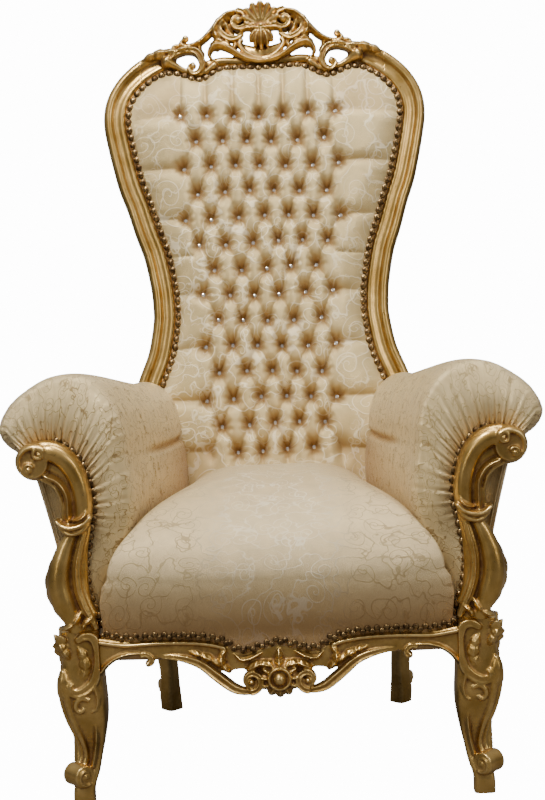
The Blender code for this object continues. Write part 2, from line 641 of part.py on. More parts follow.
left_twin(rear_leg, "rear_leg_left", material("left rear leg gilt", GILT, 0.35, 0.8))

# Side rails, from leg to leg, with a shallow scallop underneath
rail_front = np.array((FRONT_LEG_X, FRONT_BLOCK_BACK + JOINT_GAP))
rail_rear = np.array((REAR_BLOCK_X + 0.005, REAR_BLOCK_Y - half_block - JOINT_GAP))
span = np.linalg.norm(rail_rear - rail_front)
heading = math.atan2(rail_rear[1] - rail_front[1], rail_rear[0] - rail_front[0])
along = np.linspace(-0.03, span + 0.03, 15)
scallop = LEG_TOP - SIDE_RAIL_DEPTH + 0.010 * np.cos(4 * np.pi * along / span)
under_edge = np.column_stack([along, scallop])
upper_edge = [(along[-1], LEG_TOP), (along[0], LEG_TOP)]
stock = bmesh.new()
add_board(stock, np.vstack([under_edge, upper_edge]), -SIDE_RAIL_THICKNESS / 2, SIDE_RAIL_THICKNESS / 2)
placed = Matrix.Translation((*rail_front, 0.0)) @ Matrix.Rotation(heading, 4, "Z")
bmesh.ops.transform(stock, matrix=placed, verts=stock.verts[:])
side_rail = finished("side_rail_right", stock, throne, material("right side rail gilt", GILT, 0.4, 0.7))
cut_box(side_rail, "side_rail_front", (0.0, -TRIM, 0.0), (1.0, rail_front[1], 1.0))
cut_box(side_rail, "side_rail_rear", (0.0, rail_rear[1], 0.0), (1.0, 1.5, 1.0))
left_twin(side_rail, "side_rail_left", material("left side rail gilt", GILT, 0.4, 0.7))

# Rear rail
stock = bmesh.new()
rear_half = REAR_BLOCK_X - half_block - JOINT_GAP
rear_rail_front = SEAT_BACK_Y + JOINT_GAP
add_box(
    stock,
    (-rear_half, rear_rail_front, LEG_TOP - REAR_RAIL_DEPTH),
    (rear_half, rear_rail_front + REAR_RAIL_THICKNESS, LEG_TOP),
)
finished("rear_rail", stock, throne, material("rear rail gilt", GILT, 0.4, 0.7))

# Right arm front: (middle depth, half depth, (x, z, half width) points) in mm
ARM_CARVING = (
    # backing under the carving
    (-14, 18, ((366, 545, 20), (380, 500, 26), (386, 440, 30), (380, 395, 29), (372, 352, 28))),
    # main roll, from the post up and outwards into the volute
    (-22, 24, ((360, 556, 15), (358, 600, 17), (366, 640, 18), (384, 672, 19), (410, 690, 19),
               (434, 690, 18))),
    # second moulding under it
    (-20, 22, ((388, 556, 9), (387, 598, 9), (393, 621, 9), (407, 638, 8), (424, 647, 8))),
    # collar
    (-24, 27, ((345, 564, 7), (358, 549, 8), (378, 542, 9), (396, 545, 8), (408, 556, 6))),
    # belly
    (-20, 25, ((384, 532, 12), (397, 505, 17), (408, 470, 21), (411, 435, 23), (403, 400, 23),
               (391, 372, 18), (384, 350, 15))),
    # inner rim, beside the nails
    (-16, 18, ((354, 545, 6), (364, 510, 7), (373, 470, 8), (371, 430, 8), (361, 398, 8), (350, 375, 8),
               (343, 350, 8))),
)
VOLUTE = (446, 674)
VOLUTE_EYES = (((436, -34, 690), (11, 16, 11)), ((455, -34, 664), (10, 16, 10)))
stock = bmesh.new()
for middle, half_depth, points in ARM_CARVING:
    add_roll(stock, smooth(arm_drawing(points)), middle * MM, half_depth * MM)
add_roll(stock, arm_drawing(spiral(*VOLUTE, 31, 14, 130, -400, 9, 6)), -22 * MM, 25 * MM)
add_ball(stock, *np.insert(arm_drawing([VOLUTE])[0], 1, -18 * MM), (30 * MM, 24 * MM, 30 * MM))
for (x, y, z), radii in VOLUTE_EYES:
    add_ball(stock, *np.insert(arm_drawing([(x, z)])[0], 1, y * MM), np.array(radii) * MM)
arm_front = finished("arm_front_right", stock, throne, material("right arm gilt", GILT, 0.35, 0.8))
carve(arm_front, ARM_FRONT_TRIANGLES)
cut_box(arm_front, "arm_back", (0.0, -JOINT_GAP, 0.0), (1.0, TRIM, 1.0))
cut_box(arm_front, "arm_foot", (0.0, -TRIM, 0.0), (1.0, TRIM, LEG_TOP + JOINT_GAP))
left_twin(arm_front, "arm_front_left", material("left arm gilt", GILT, 0.35, 0.8))


def coons(left, right, low, high):
    """Grid of (x, z) points stretched over four edges, its rows running from low to high."""
    u = np.linspace(0.0, 1.0, len(low))[None, :, None]
    v = np.linspace(0.0, 1.0, len(left))[:, None, None]
    across = (1 - u) * left[:, None] + u * right[:, None]
    upwards = (1 - v) * low[None] + v * high[None]
    corners = (1 - u) * ((1 - v) * low[0] + v * high[0]) + u * ((1 - v) * low[-1] + v * high[-1])
    return across + upwards - corners


def back_grid(margin, foot, rows, columns):
    """Grid over the padded back, its edge moved out by margin, from height foot to the crest."""
    edge = pad_edge + sideways(pad_edge) * margin
    edge[-1, 0] = 0.0
    side = edge[: SHOULDER + 1]
    foot_x = np.interp(foot, side[:9, 1], side[:9, 0])
    side = np.vstack([[(foot_x, foot)], side[side[:, 1] > foot + 5 * MM]])
    right = even(side, rows)
    high = even(mirrored(edge[SHOULDER:])[::-1], columns)
    low = np.column_stack([np.linspace(-foot_x, foot_x, columns), np.full(columns, foot)])
    return coons(right * (-1.0, 1.0), right, low, high)


def crown(rows, columns):
    """How far a pad stands out over its grid: nothing at the edges, one in the middle."""
    u = np.linspace(-1.0, 1.0, columns)[None, :]
    v = np.linspace(-1.0, 1.0, rows)[:, None]
    return ((1 - np.abs(u) ** 4) * (1 - np.abs(v) ** 10)) ** 0.9


def add_slab(stock, grid, near, far):
    """Solid over a grid of (x, z) points, between the depths near and far."""
    rings = []
    for row, front, rear in zip(grid, near, far):
        face = [(x, y, z) for (x, z), y in zip(row, front)]
        behind = [(x, y, z) for (x, z), y in zip(row, rear)]
        rings.append(face + behind[::-1])
    add_loft(stock, rings)


def add_back_pad(stock, margin):
    """The padded back before it is trimmed to its frame, swollen by margin."""
    rows, columns = 13, 9
    grid = back_grid(PAD_OVERLAP, PAD_FOOT, rows, columns)
    grid[:, :, 0] *= 1 + margin / grid[0, -1, 0]
    grid[0, :, 1] -= margin
    near = -PAD_EDGE_FRONT - margin - (PAD_CROWN - PAD_EDGE_FRONT) * crown(rows, columns)
    add_slab(stock, grid, near, np.full_like(near, PAD_BACK + margin))


# Padded back
stock = bmesh.new()
add_back_pad(stock, 0.0)
back_pad = finished("back_pad", stock, back, material("back damask", DAMASK, 0.6))
stock = bmesh.new()
pad_outline = opening - sideways(opening) * PAD_GAP
pad_outline[-1, 0] = 0.0
add_board(stock, mirrored(pad_outline), -TRIM, TRIM)
cut(back_pad, "back_pad_outline", stock, back, "INTERSECT")

# Upholstered cover on the rear of the back
rows, columns = 11, 6
stock = bmesh.new()
cover_front = PAD_BACK + JOINT_GAP
bulge = BACK_COVER_THICKNESS + BACK_COVER_CROWN * crown(rows, columns)
add_slab(
    stock,
    back_grid(BACK_COVER_MARGIN, LOWER_RAIL_LOW, rows, columns),
    np.full((rows, columns), cover_front),
    cover_front + bulge,
)
finished("back_cover", stock, back, material("cover damask", DAMASK, 0.6))

# Section of the right arm, from the foot of its outer side over the roll to the foot of its inner side
ARM_SECTION_FRONT = (
    (400, 345), (405, 460), (458, 655), (466, 667), (486, 683), (510, 705), (520, 735), (500, 775),
    (465, 805), (420, 828), (370, 832), (325, 812), (292, 770), (276, 720), (272, 670), (264, 610),
    (268, 550), (292, 480), (325, 420), (338, 345),
)
# The same section where it meets the leaning back
ARM_SECTION_REAR = (
    (300, 345), (302, 460), (322, 610), (327, 622), (340, 635), (355, 655), (360, 685), (350, 720),
    (330, 745), (305, 757), (275, 757), (245, 742), (222, 715), (210, 680), (205, 645), (198, 600),
    (195, 550), (198, 480), (200, 420), (205, 345),
)
INNER_SIDE = slice(-1, -7, -1)
PANEL_SIDE = slice(0, 3)
arm_fore = arm_drawing(ARM_SECTION_FRONT)
arm_rear = arm_drawing(ARM_SECTION_REAR)
arm_rear[:, 0] += (BACK_WIDTH - DRAWN_BACK_WIDTH) / 2 - ARM_SHIFT
arm_fore[[0, -1], 1] += ARM_PAD_LIFT
arm_rear[[0, -1], 1] += ARM_PAD_LIFT


def eased(share):
    """Share of the way from the arm's front section to its rear one, slow at both ends."""
    return share * share * (3 - 2 * share)


def arm_ring(share, start):
    """Section of the arm at a share of the way back from the depth start, as (x, y, z) columns."""
    x, z = ((1 - eased(share)) * arm_fore + eased(share) * arm_rear).T
    rear = leaning_y(arm_rear[:, 1], ARM_PAD_REAR)
    return np.column_stack([x, start + (rear - start) * share, z])


def drawn_in(ring, inset):
    """A ring pulled in square to its own line, its foot kept on the rail."""
    run = np.roll(ring, -1, 0) - np.roll(ring, 1, 0)
    length = np.hypot(run[:, 0], run[:, 2])
    moved = ring.copy()
    moved[:, 0] -= inset * run[:, 2] / length
    moved[1:-1, 2] += inset * (run[:, 0] / length)[1:-1]
    return moved


# Padded arms; the front edge is rounded by rings that are pulled in
ARM_NOSE = ((0.0, 13.0), (5.0, 5.5), (13.0, 1.5))
ARM_STATIONS = (0.045, 0.2, 0.36, 0.52, 0.68, 0.84, 1.0)
stock = bmesh.new()
rings = []
for step, inset in ARM_NOSE:
    ring = drawn_in(arm_ring(0.0, ARM_PAD_FRONT), inset * MM)
    ring[:, 1] += step * MM
    rings.append(ring)
rings += [arm_ring(share, ARM_PAD_FRONT) for share in ARM_STATIONS]
add_loft(stock, rings)
arm_pad = finished("arm_pad_right", stock, throne, material("right arm damask", DAMASK, 0.6))
stock = bmesh.new()
add_back_pad(stock, PAD_GAP)
cut(arm_pad, "arm_back_clearance", stock, back)
left_twin(arm_pad, "arm_pad_left", material("left arm damask", DAMASK, 0.6))

# Outer panels of the arms
stock = bmesh.new()
rings = []
for share in (0.0, *ARM_STATIONS):
    inner = arm_ring(share, ARM_PAD_FRONT)[PANEL_SIDE] + (PAD_GAP, 0.0, 0.0)
    outer = inner[::-1] + (OUTSIDE_PANEL, 0.0, 0.0)
    rings.append(np.vstack([inner, outer]))
add_loft(stock, rings)
outside = finished("outside_arm_right", stock, throne, material("right panel damask", DAMASK, 0.6))
left_twin(outside, "outside_arm_left", material("left panel damask", DAMASK, 0.6))

# Seat: (depth of its front, its height, height of its sides) in mm, from the underside up
SEAT_LEVELS = ((12, 334, 333), (10, 288, 337), (-25, 288, 345), (-50, 350, 380), (-60, 400, 420),
               (-54, 450, 480), (-34, 500, 550))
# Half width of the seat in front of the arms, by height
SEAT_FRONT_HALF = ((333, 300), (333, 357), (336, 398), (330, 430), (306, 465), (284, 500), (257, 550))
FRONT_COUNT = 11
REAR_COUNT = 5
CROWN_STEPS = 5
front_half = arm_drawing(SEAT_FRONT_HALF)
inner_fore = arm_fore[INNER_SIDE]
inner_rear = arm_rear[INNER_SIDE]


def seat_sides(z):
    """Right side of the seat beside the arm at height z, from its front to the rear rail."""
    depth = leaning_y(z, ARM_PAD_REAR) - ARM_PAD_FRONT
    shares = np.append(ARM_STATIONS[:-1], (SEAT_BACK_Y - ARM_PAD_FRONT) / depth)
    blend = np.interp(shares, ARM_STATIONS, eased(np.array(ARM_STATIONS)))
    fore = np.interp(z, inner_fore[:, 1], inner_fore[:, 0])
    rear = np.interp(z, inner_rear[:, 1], inner_rear[:, 0])
    x = fore + (rear - fore) * blend - PAD_GAP
    return np.column_stack([x, ARM_PAD_FRONT + depth * shares, np.full(len(shares), z)])


def seat_ring(front_y, front_z, side_z):
    """Closed line around the seat: its front from left to right, right side, rear and left side."""
    half = np.interp(front_z, front_half[:, 1], front_half[:, 0])
    across = np.linspace(-1.0, 1.0, FRONT_COUNT)
    y = front_y * (1 - 0.45 * across**6)
    front = np.column_stack([half * across, y, np.full(FRONT_COUNT, front_z)])
    right = seat_sides(side_z)
    rear_x = np.linspace(right[-1, 0], -right[-1, 0], REAR_COUNT)[1:-1]
    rear = np.column_stack([rear_x, np.full((REAR_COUNT - 2, 2), (SEAT_BACK_Y, side_z))])
    return np.vstack([front, right, rear, right[::-1] * (-1.0, 1.0, 1.0)])


stock = bmesh.new()
rings = []
for front_y, front_z, side_z in SEAT_LEVELS:
    rings.append(seat_ring(front_y * MM, front_z * MM, side_z * MM))
top_edge = rings[-1]
middle = np.array((0.0, SEAT_MIDDLE_Y, SEAT_HEIGHT))
for turn in np.linspace(0.0, np.pi / 2, CROWN_STEPS + 1)[1:]:
    ring = middle + (top_edge - middle) * max(math.cos(turn), 0.08)
    ring[:, 2] = top_edge[:, 2] + (SEAT_HEIGHT - top_edge[:, 2]) * math.sin(turn)
    rings.append(ring)
add_loft(stock, rings)
seat = finished("seat_cushion", stock, throne, material("seat damask", DAMASK, 0.6))
stock = bmesh.new()
below = np.vstack([wave + (0.0, JOINT_GAP), [(TRIM, wave[-1, 1]), (TRIM, 0.0), (0.0, 0.0)]])
add_board(stock, mirrored(below)[:-1], -TRIM, RAIL_PLATE_BACK + JOINT_GAP)
cut(seat, "seat_rail_line", stock, throne)
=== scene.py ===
import math

import bmesh
import bpy
import numpy as np
from mathutils import Matrix, Vector


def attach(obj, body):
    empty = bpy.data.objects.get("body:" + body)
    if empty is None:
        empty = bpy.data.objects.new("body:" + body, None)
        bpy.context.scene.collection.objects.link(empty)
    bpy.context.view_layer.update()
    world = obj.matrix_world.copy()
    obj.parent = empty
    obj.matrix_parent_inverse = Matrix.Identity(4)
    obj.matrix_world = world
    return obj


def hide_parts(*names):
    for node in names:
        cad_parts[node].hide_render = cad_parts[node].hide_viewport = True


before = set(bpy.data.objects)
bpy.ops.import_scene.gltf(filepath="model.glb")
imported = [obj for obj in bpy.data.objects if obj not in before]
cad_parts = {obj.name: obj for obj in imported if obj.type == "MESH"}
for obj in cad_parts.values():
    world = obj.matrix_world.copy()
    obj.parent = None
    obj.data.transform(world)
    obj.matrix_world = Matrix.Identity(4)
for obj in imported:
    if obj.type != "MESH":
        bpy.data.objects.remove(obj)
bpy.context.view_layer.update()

# Studio: the throne stands on a plain pale floor before a camera at the height of its upper arms.
# A soft lamp lights it from high on the left, and two tall strips put gleams on the gilding.
camera = bpy.data.objects.new("camera", bpy.data.cameras.new("camera"))
camera.data.sensor_width = 36.0
camera.data.lens = 76.9
yaw, pitch, roll = np.radians((-1.012, 6.33, 2.25))
forward = Vector((math.sin(yaw) * math.cos(pitch), math.cos(yaw) * math.cos(pitch), -math.sin(pitch)))
level = Vector((math.cos(yaw), -math.sin(yaw), 0.0))
down = forward.cross(level)
right = level * math.cos(roll) + down * math.sin(roll)
below = down * math.cos(roll) - level * math.sin(roll)
camera_turn = Matrix((right, -below, -forward)).transposed().to_4x4()
camera.matrix_world = Matrix.Translation((0.063, -3.56, 1.127)) @ camera_turn
bpy.context.scene.collection.objects.link(camera)
bpy.context.scene.camera = camera


def soft_lamp(name, place, size, power, colour, height=None):
    """Square lamp, or a tall one of that height, that faces the middle of the throne."""
    lamp = bpy.data.objects.new(name, bpy.data.lights.new(name, "AREA"))
    lamp.data.shape = "RECTANGLE"
    lamp.data.size = size
    lamp.data.size_y = height or size
    lamp.data.energy = power
    lamp.data.color = colour
    lamp.location = place
    lamp.rotation_euler = (Vector((0.0, 0.0, 0.8)) - Vector(place)).to_track_quat("-Z", "Y").to_euler()
    bpy.context.scene.collection.objects.link(lamp)


soft_lamp("key_lamp", (-0.9, -1.4, 3.7), 0.7, 120.0, (1.0, 0.95, 0.84))
soft_lamp("fill_lamp", (2.2, -2.0, 2.6), 0.9, 12.0, (1.0, 0.93, 0.82))
soft_lamp("top_lamp", (0.4, 0.1, 3.4), 1.2, 50.0, (1.0, 0.97, 0.90))
soft_lamp("left_strip", (-1.9, -3.2, 1.9), 0.34, 17.0, (1.0, 0.95, 0.84), 2.0)
soft_lamp("right_strip", (2.6, -2.2, 1.8), 0.34, 15.0, (1.0, 0.95, 0.84), 2.0)
def node_in(tree, kind, inputs=(), **settings):
    """Adds a node; inputs are (socket, value or source socket) pairs and settings its own properties."""
    node = tree.nodes.new(kind)
    for name, value in settings.items():
        setattr(node, name, value)
    for socket, value in inputs:
        if isinstance(value, bpy.types.NodeSocket):
            tree.links.new(value, node.inputs[socket])
        else:
            node.inputs[socket].default_value = value
    return node


def number(tree, operation, *values, clamp=False):
    """Result of one Math node over numbers or sockets."""
    pairs = list(enumerate(values))
    return node_in(tree, "ShaderNodeMath", pairs, operation=operation, use_clamp=clamp).outputs[0]


def ranged(tree, value, low, high, to_low=0.0, to_high=1.0):
    """Value stretched from one range to another and kept inside it."""
    pairs = [(0, value), (1, low), (2, high), (3, to_low), (4, to_high)]
    return node_in(tree, "ShaderNodeMapRange", pairs).outputs[0]


def new_paint(name):
    """New material, with its node tree and its shader."""
    paint = bpy.data.materials.new(name)
    paint.use_nodes = True
    return paint, paint.node_tree, paint.node_tree.nodes["Principled BSDF"]


# the room is bright overhead and dim low down, and white where the camera looks past the throne
WHITE_OUT = 14.0
world = bpy.data.worlds.new("studio")
world.use_nodes = True
room = world.node_tree
heading = node_in(room, "ShaderNodeTexCoord").outputs["Generated"]
upward = node_in(room, "ShaderNodeSeparateXYZ", ((0, heading),)).outputs[2]
overhead = ranged(room, upward, -0.1, 0.9, 0.03, 0.62)
seen = node_in(room, "ShaderNodeLightPath").outputs["Is Camera Ray"]
strength = node_in(room, "ShaderNodeMix", ((0, seen), (2, overhead), (3, WHITE_OUT))).outputs[0]
room.links.new(strength, room.nodes["Background"].inputs["Strength"])
room.nodes["Background"].inputs["Color"].default_value = (1.0, 1.0, 1.0, 1.0)
bpy.context.scene.world = world

floor_mesh = bpy.data.meshes.new("floor")
floor_mesh.from_pydata([(-8, -8, 0), (8, -8, 0), (8, 12, 0), (-8, 12, 0)], [], [(0, 1, 2, 3)])
floor = bpy.data.objects.new("floor", floor_mesh)
bpy.context.scene.collection.objects.link(floor)
floor_paint, tree, shader = new_paint("pale floor")
shader.inputs["Base Color"].default_value = (0.16, 0.15, 0.14, 1.0)
shader.inputs["Roughness"].default_value = 0.8
shader.inputs["Emission Color"].default_value = (1.0, 1.0, 1.0, 1.0)
to_camera = node_in(tree, "ShaderNodeLightPath").outputs["Is Camera Ray"]
tree.links.new(number(tree, "MULTIPLY", to_camera, WHITE_OUT), shader.inputs["Emission Strength"])
floor_mesh.materials.append(floor_paint)


# Crest rail: the pierced top of the back, limewood carved with a shell, scrolls and leaves,
# gilded over red-brown bole, and pegged to the two mouldings at the shoulders.
MM = 0.001
FRONT_SETBACK = 0.360
BACK_Y = 0.530
BACK_Z = 0.450
BACK_LEAN = math.radians(12.0)
MOULDING_WIDTH = 0.048
MOULDING_DEPTH = 0.044
CREST_JOINT_X = 0.275
SHELL_FOOT = 1114
CREST_GRAIN = 0.0019


def blended(tree, share, first, second):
    """Mix of two colours by a share from 0 to 1."""
    pairs = [(0, share), (6, first), (7, second)]
    return node_in(tree, "ShaderNodeMix", pairs, data_type="RGBA").outputs[2]


def noise(tree, place, scale, detail=2.0, roughness=0.5):
    """Soft random cloud over a place, from 0 to 1."""
    pairs = (("Vector", place), ("Scale", scale), ("Detail", detail), ("Roughness", roughness))
    return node_in(tree, "ShaderNodeTexNoise", pairs).outputs[0]


def own_place(tree):
    """Place on the object itself, in metres."""
    return node_in(tree, "ShaderNodeTexCoord").outputs["Object"]


def attribute(tree, name):
    """Value of a mesh attribute."""
    return node_in(tree, "ShaderNodeAttribute", attribute_name=name).outputs["Fac"]


def vector(tree, operation, *values):
    """Result of one Vector Math node over vectors or sockets."""
    return node_in(tree, "ShaderNodeVectorMath", list(enumerate(values)), operation=operation).outputs[0]


def group_of(name, inputs, outputs):
    """Empty node group with (socket type, name, default) inputs and (type, name) outputs."""
    tree = bpy.data.node_groups.new(name, "ShaderNodeTree")
    for kind, label, default in inputs:
        socket = tree.interface.new_socket(name=label, in_out="INPUT", socket_type=kind)
        if default is not None:
            socket.default_value = default
    for kind, label in outputs:
        tree.interface.new_socket(name=label, in_out="OUTPUT", socket_type=kind)
    return tree, tree.nodes.new("NodeGroupInput"), tree.nodes.new("NodeGroupOutput")


# Gold leaf: the attribute "relief" is above zero on edges, which get a painted highlight, and below it in
# hollows, which get painted shade in the colour of the bole; random flecks of bole are wear
leaf_group, given, result = group_of(
    "gold leaf with wear and painted light",
    (
        ("NodeSocketVector", "Place", None),
        ("NodeSocketFloat", "Relief", 0.0),
        ("NodeSocketColor", "Leaf", (0.70, 0.46, 0.16, 1.0)),
        ("NodeSocketColor", "Edge highlight", (0.90, 0.70, 0.36, 1.0)),
        ("NodeSocketColor", "Bole and shade", (0.20, 0.075, 0.022, 1.0)),
    ),
    (
        ("NodeSocketColor", "Colour"),
        ("NodeSocketFloat", "Roughness"),
        ("NodeSocketFloat", "Metal"),
        ("NodeSocketFloat", "Height"),
    ),
)
place = given.outputs["Place"]
cloud = noise(leaf_group, place, 24.0, 5.0)
grime = noise(leaf_group, place, 150.0, 4.0)
speck = noise(leaf_group, place, 620.0)
uneven = number(leaf_group, "SUBTRACT", grime, 0.5)
light_relief_mask = number(leaf_group, "MULTIPLY_ADD", uneven, 0.55, given.outputs["Relief"])
# painted shade in the hollows and painted highlight on the edges, both following the relief
painted_hollow_shade = ranged(leaf_group, light_relief_mask, -0.05, -0.6)
edge = ranged(leaf_group, light_relief_mask, 0.25, 1.1)
tone = ranged(leaf_group, cloud, 0.35, 0.7)
darker = blended(leaf_group, tone, (0.44, 0.27, 0.075, 1.0), given.outputs["Leaf"])
with_edge_highlight = blended(leaf_group, edge, darker, given.outputs["Edge highlight"])
with_hollow_shade = blended(leaf_group, painted_hollow_shade, with_edge_highlight, given.outputs["Bole and shade"])
fleck = ranged(leaf_group, speck, 0.68, 0.78, 0.0, 0.4)
flecked = blended(leaf_group, fleck, with_hollow_shade, given.outputs["Bole and shade"])
rough = number(leaf_group, "MULTIPLY_ADD", grime, 0.14, 0.23)
rougher = number(leaf_group, "MULTIPLY_ADD", painted_hollow_shade, 0.25, rough, clamp=True)
metal = number(leaf_group, "MULTIPLY_ADD", painted_hollow_shade, -0.55, 0.93)
height = number(leaf_group, "MULTIPLY_ADD", cloud, 3.0, grime)
leaf_group.links.new(flecked, result.inputs["Colour"])
leaf_group.links.new(rougher, result.inputs["Roughness"])
leaf_group.links.new(metal, result.inputs["Metal"])
leaf_group.links.new(height, result.inputs["Height"])


def gilding(name, leaf, edge_highlight, bole_and_shade, bump=0.0005):
    """Material of gold leaf over bole, with a painted highlight on its edges and painted shade in its
    hollows.
    """
    paint, tree, shader = new_paint(name)
    leaf_and_light = tree.nodes.new("ShaderNodeGroup")
    leaf_and_light.node_tree = leaf_group
    for label, value in (("Leaf", leaf), ("Edge highlight", edge_highlight), ("Bole and shade", bole_and_shade)):
        leaf_and_light.inputs[label].default_value = (*value, 1.0)
    tree.links.new(own_place(tree), leaf_and_light.inputs["Place"])
    tree.links.new(attribute(tree, "relief"), leaf_and_light.inputs["Relief"])
    dented = (("Height", leaf_and_light.outputs["Height"]), ("Distance", bump), ("Strength", 0.35))
    dents = node_in(tree, "ShaderNodeBump", dented)
    tree.links.new(leaf_and_light.outputs["Colour"], shader.inputs["Base Color"])
    tree.links.new(leaf_and_light.outputs["Roughness"], shader.inputs["Roughness"])
    tree.links.new(leaf_and_light.outputs["Metal"], shader.inputs["Metallic"])
    tree.links.new(dents.outputs["Normal"], shader.inputs["Normal"])
    return paint


gilt = gilding("antique gilding", (0.66, 0.44, 0.155), (0.90, 0.70, 0.35), (0.15, 0.062, 0.017))


def smooth(points, steps=4):
    """Catmull-Rom curve through the points, with the same number of steps on each span."""
    knots = np.asarray(points, float)
    knots = np.vstack([2 * knots[0] - knots[1], knots, 2 * knots[-1] - knots[-2]])
    t = np.linspace(0.0, 1.0, steps, endpoint=False)[:, None]
    spans = []
    for a, b, c, d in zip(knots, knots[1:], knots[2:], knots[3:]):
        cubic = (3 * b - a - 3 * c + d) * t**3
        square = (2 * a - 5 * b + 4 * c - d) * t**2
        spans.append(0.5 * (2 * b + (c - a) * t + square + cubic))
    return np.vstack([*spans, knots[-2:-1]])


def even(path, count):
    """The path again, as count points at equal distances."""
    run = np.concatenate([[0.0], np.cumsum(np.linalg.norm(np.diff(path[:, :2], axis=0), axis=1))])
    places = np.linspace(0.0, run[-1], count)
    return np.column_stack([np.interp(places, run, column) for column in path.T])


def sideways(path):
    """Unit vectors square to a flat path, to its right as it runs."""
    run = np.gradient(path[:, :2], axis=0)
    run /= np.linalg.norm(run, axis=1)[:, None] + 1e-12
    return np.column_stack([run[:, 1], -run[:, 0]])


def grid_faces(rows, columns, closed=False):
    """Quads over a grid of points kept row by row; closed joins the last column to the first."""
    index = np.arange(rows * columns).reshape(rows, columns)
    if closed:
        index = np.hstack([index, index[:, :1]])
    corners = (index[:-1, :-1], index[:-1, 1:], index[1:, 1:], index[1:, :-1])
    return np.stack(corners, axis=-1).reshape(-1, 4)


def tube(rings):
    """Closed skin over rings of points (ring, point, 3), its ends shut with flat caps."""
    count, around = rings.shape[:2]
    faces = grid_faces(count, around, closed=True).tolist()
    faces.append(list(range(around))[::-1])
    faces.append(list(range((count - 1) * around, count * around)))
    return rings.reshape(-1, 3), faces


def ball(x, y, z, radii, rows=10, columns=16):
    """Rounded boss: circles of latitude from pole to pole, stretched to three radii; millimetres."""
    up = np.linspace(-np.pi / 2 + 0.08, np.pi / 2 - 0.08, rows)[:, None]
    around = np.linspace(0.0, 2 * np.pi, columns, endpoint=False)[None, :]
    rings = np.stack([np.cos(up) * np.cos(around), np.cos(up) * np.sin(around), np.sin(up) + 0 * around], -1)
    return tube(rings * radii + (x, y, z))


def spiral(x, z, outer, inner, start, turn, thick, thin, steps=30):
    """Scroll's eye: (x, z, half width) winding in from outer to inner radius, angles in degrees."""
    share = np.linspace(0.0, 1.0, steps)
    angle = np.radians(start + turn * share)
    radius = outer + (inner - outer) * share
    width = thick + (thin - thick) * share
    return np.column_stack([x + radius * np.cos(angle), z + radius * np.sin(angle), width])


def carved_roll(points, middle, half_depth, cut="round", lobes=0, sides=17, spacing=2.0):
    """Carved roll along (x, z, half width) points, in millimetres, round ended.

    Across it (a from -1 to 1) its front stands (1 - a²) to the power 0.35 times the half depth, and the
    cut changes that: a channel sinks it in the middle, a ridge lifts it there, reeds ripple it, and a
    leaf adds slanting veins. Lobes scallop its width along the run.
    """
    path = smooth(points, 10)
    length = np.linalg.norm(np.diff(path[:, :2], axis=0), axis=1).sum()
    path = even(path, max(8, int(length / spacing)))
    stretch = half_depth / path[:, 2].mean()
    share = np.linspace(0.0, 1.0, len(path))
    if lobes:
        path[:, 2] *= 0.80 + 0.34 * np.abs(np.sin(np.pi * lobes * share)) ** 0.7
    first, last = path[0], path[-1]
    head = path[0, :2] - path[1, :2]
    tail = path[-1, :2] - path[-2, :2]
    head /= np.linalg.norm(head)
    tail /= np.linalg.norm(tail)
    turn = np.radians((12.0, 32.0, 52.0, 72.0))[:, None]
    before = np.hstack([first[:2] + head * first[2] * np.cos(turn), first[2] * np.sin(turn)])
    after = np.hstack([last[:2] + tail * last[2] * np.cos(turn), last[2] * np.sin(turn)])[::-1]
    normals = sideways(path)
    normals = np.vstack([np.repeat(normals[:1], 4, 0), normals, np.repeat(normals[-1:], 4, 0)])
    run = np.vstack([before, path, after])
    along = np.concatenate([[0.0] * 4, share, [1.0] * 4])[:, None]
    theta = np.linspace(0.0, np.pi, sides)[None, :]
    a = -np.cos(theta)
    front = np.sin(theta) ** 0.7 + 0 * along
    if cut == "channel":
        front = front * (1 - 0.42 * np.clip(1 - (a / 0.66) ** 2, 0, 1))
    elif cut == "ridge":
        front = front * (0.72 + 0.34 * np.exp(-((a / 0.26) ** 2)))
    elif cut == "reed":
        front = front * (0.9 + 0.14 * np.cos(2.5 * np.pi * a))
    elif cut == "leaf":
        veins = np.cos(2 * np.pi * (2 * lobes * along - 0.9 * np.abs(a)))
        front = front * (0.74 + 0.28 * np.exp(-((a / 0.22) ** 2)) + 0.13 * veins * np.abs(a) ** 0.6)
    rear_theta = np.linspace(0.0, np.pi, 9)[None, 1:-1]
    across = np.hstack([a + 0 * along, np.cos(rear_theta) + 0 * along])
    depth = np.hstack([-front, np.sin(rear_theta) + 0 * along])
    width = run[:, 2:3]
    x = run[:, 0:1] + normals[:, 0:1] * across * width
    z = run[:, 1:2] + normals[:, 1:2] * across * width
    y = middle + depth * width * stretch
    return tube(np.stack([x, y, z], -1))


def placed(shape, matrix):
    """The shape moved by a matrix, which may mirror it."""
    points, faces = shape
    matrix = np.array(matrix, float)
    moved = points @ matrix[:3, :3].T + matrix[:3, 3]
    if np.linalg.det(matrix[:3, :3]) < 0:
        faces = [face[::-1] for face in faces]
    return moved, faces


def both_hands(shapes):
    """The shapes and their twins across the middle."""
    return shapes + [placed(shape, np.diag((-1.0, 1.0, 1.0, 1.0))) for shape in shapes]


def board(outline, front, behind):
    """Flat plate of an (x, z) outline between two depths."""
    count = len(outline)
    near = np.column_stack([outline[:, 0], np.full(count, front), outline[:, 1]])
    far = near + (0.0, behind - front, 0.0)
    return tube(np.stack([near, far]))


def neighbour_mean(points, edges):
    """Mean of the points joined to each point by an edge."""
    starts = np.concatenate([edges[:, 0], edges[:, 1]])
    ends = np.concatenate([edges[:, 1], edges[:, 0]])
    total = [np.bincount(starts, weights=points[ends, axis], minlength=len(points)) for axis in range(3)]
    joined = np.bincount(starts, minlength=len(points))
    return np.column_stack(total) / np.maximum(joined, 1)[:, None]


def read(items, name, width, kind=float):
    """Array of one property of a mesh's points or edges, a row for each."""
    values = np.empty(len(items) * width, kind)
    items.foreach_get(name, values)
    return values.reshape(-1, width)


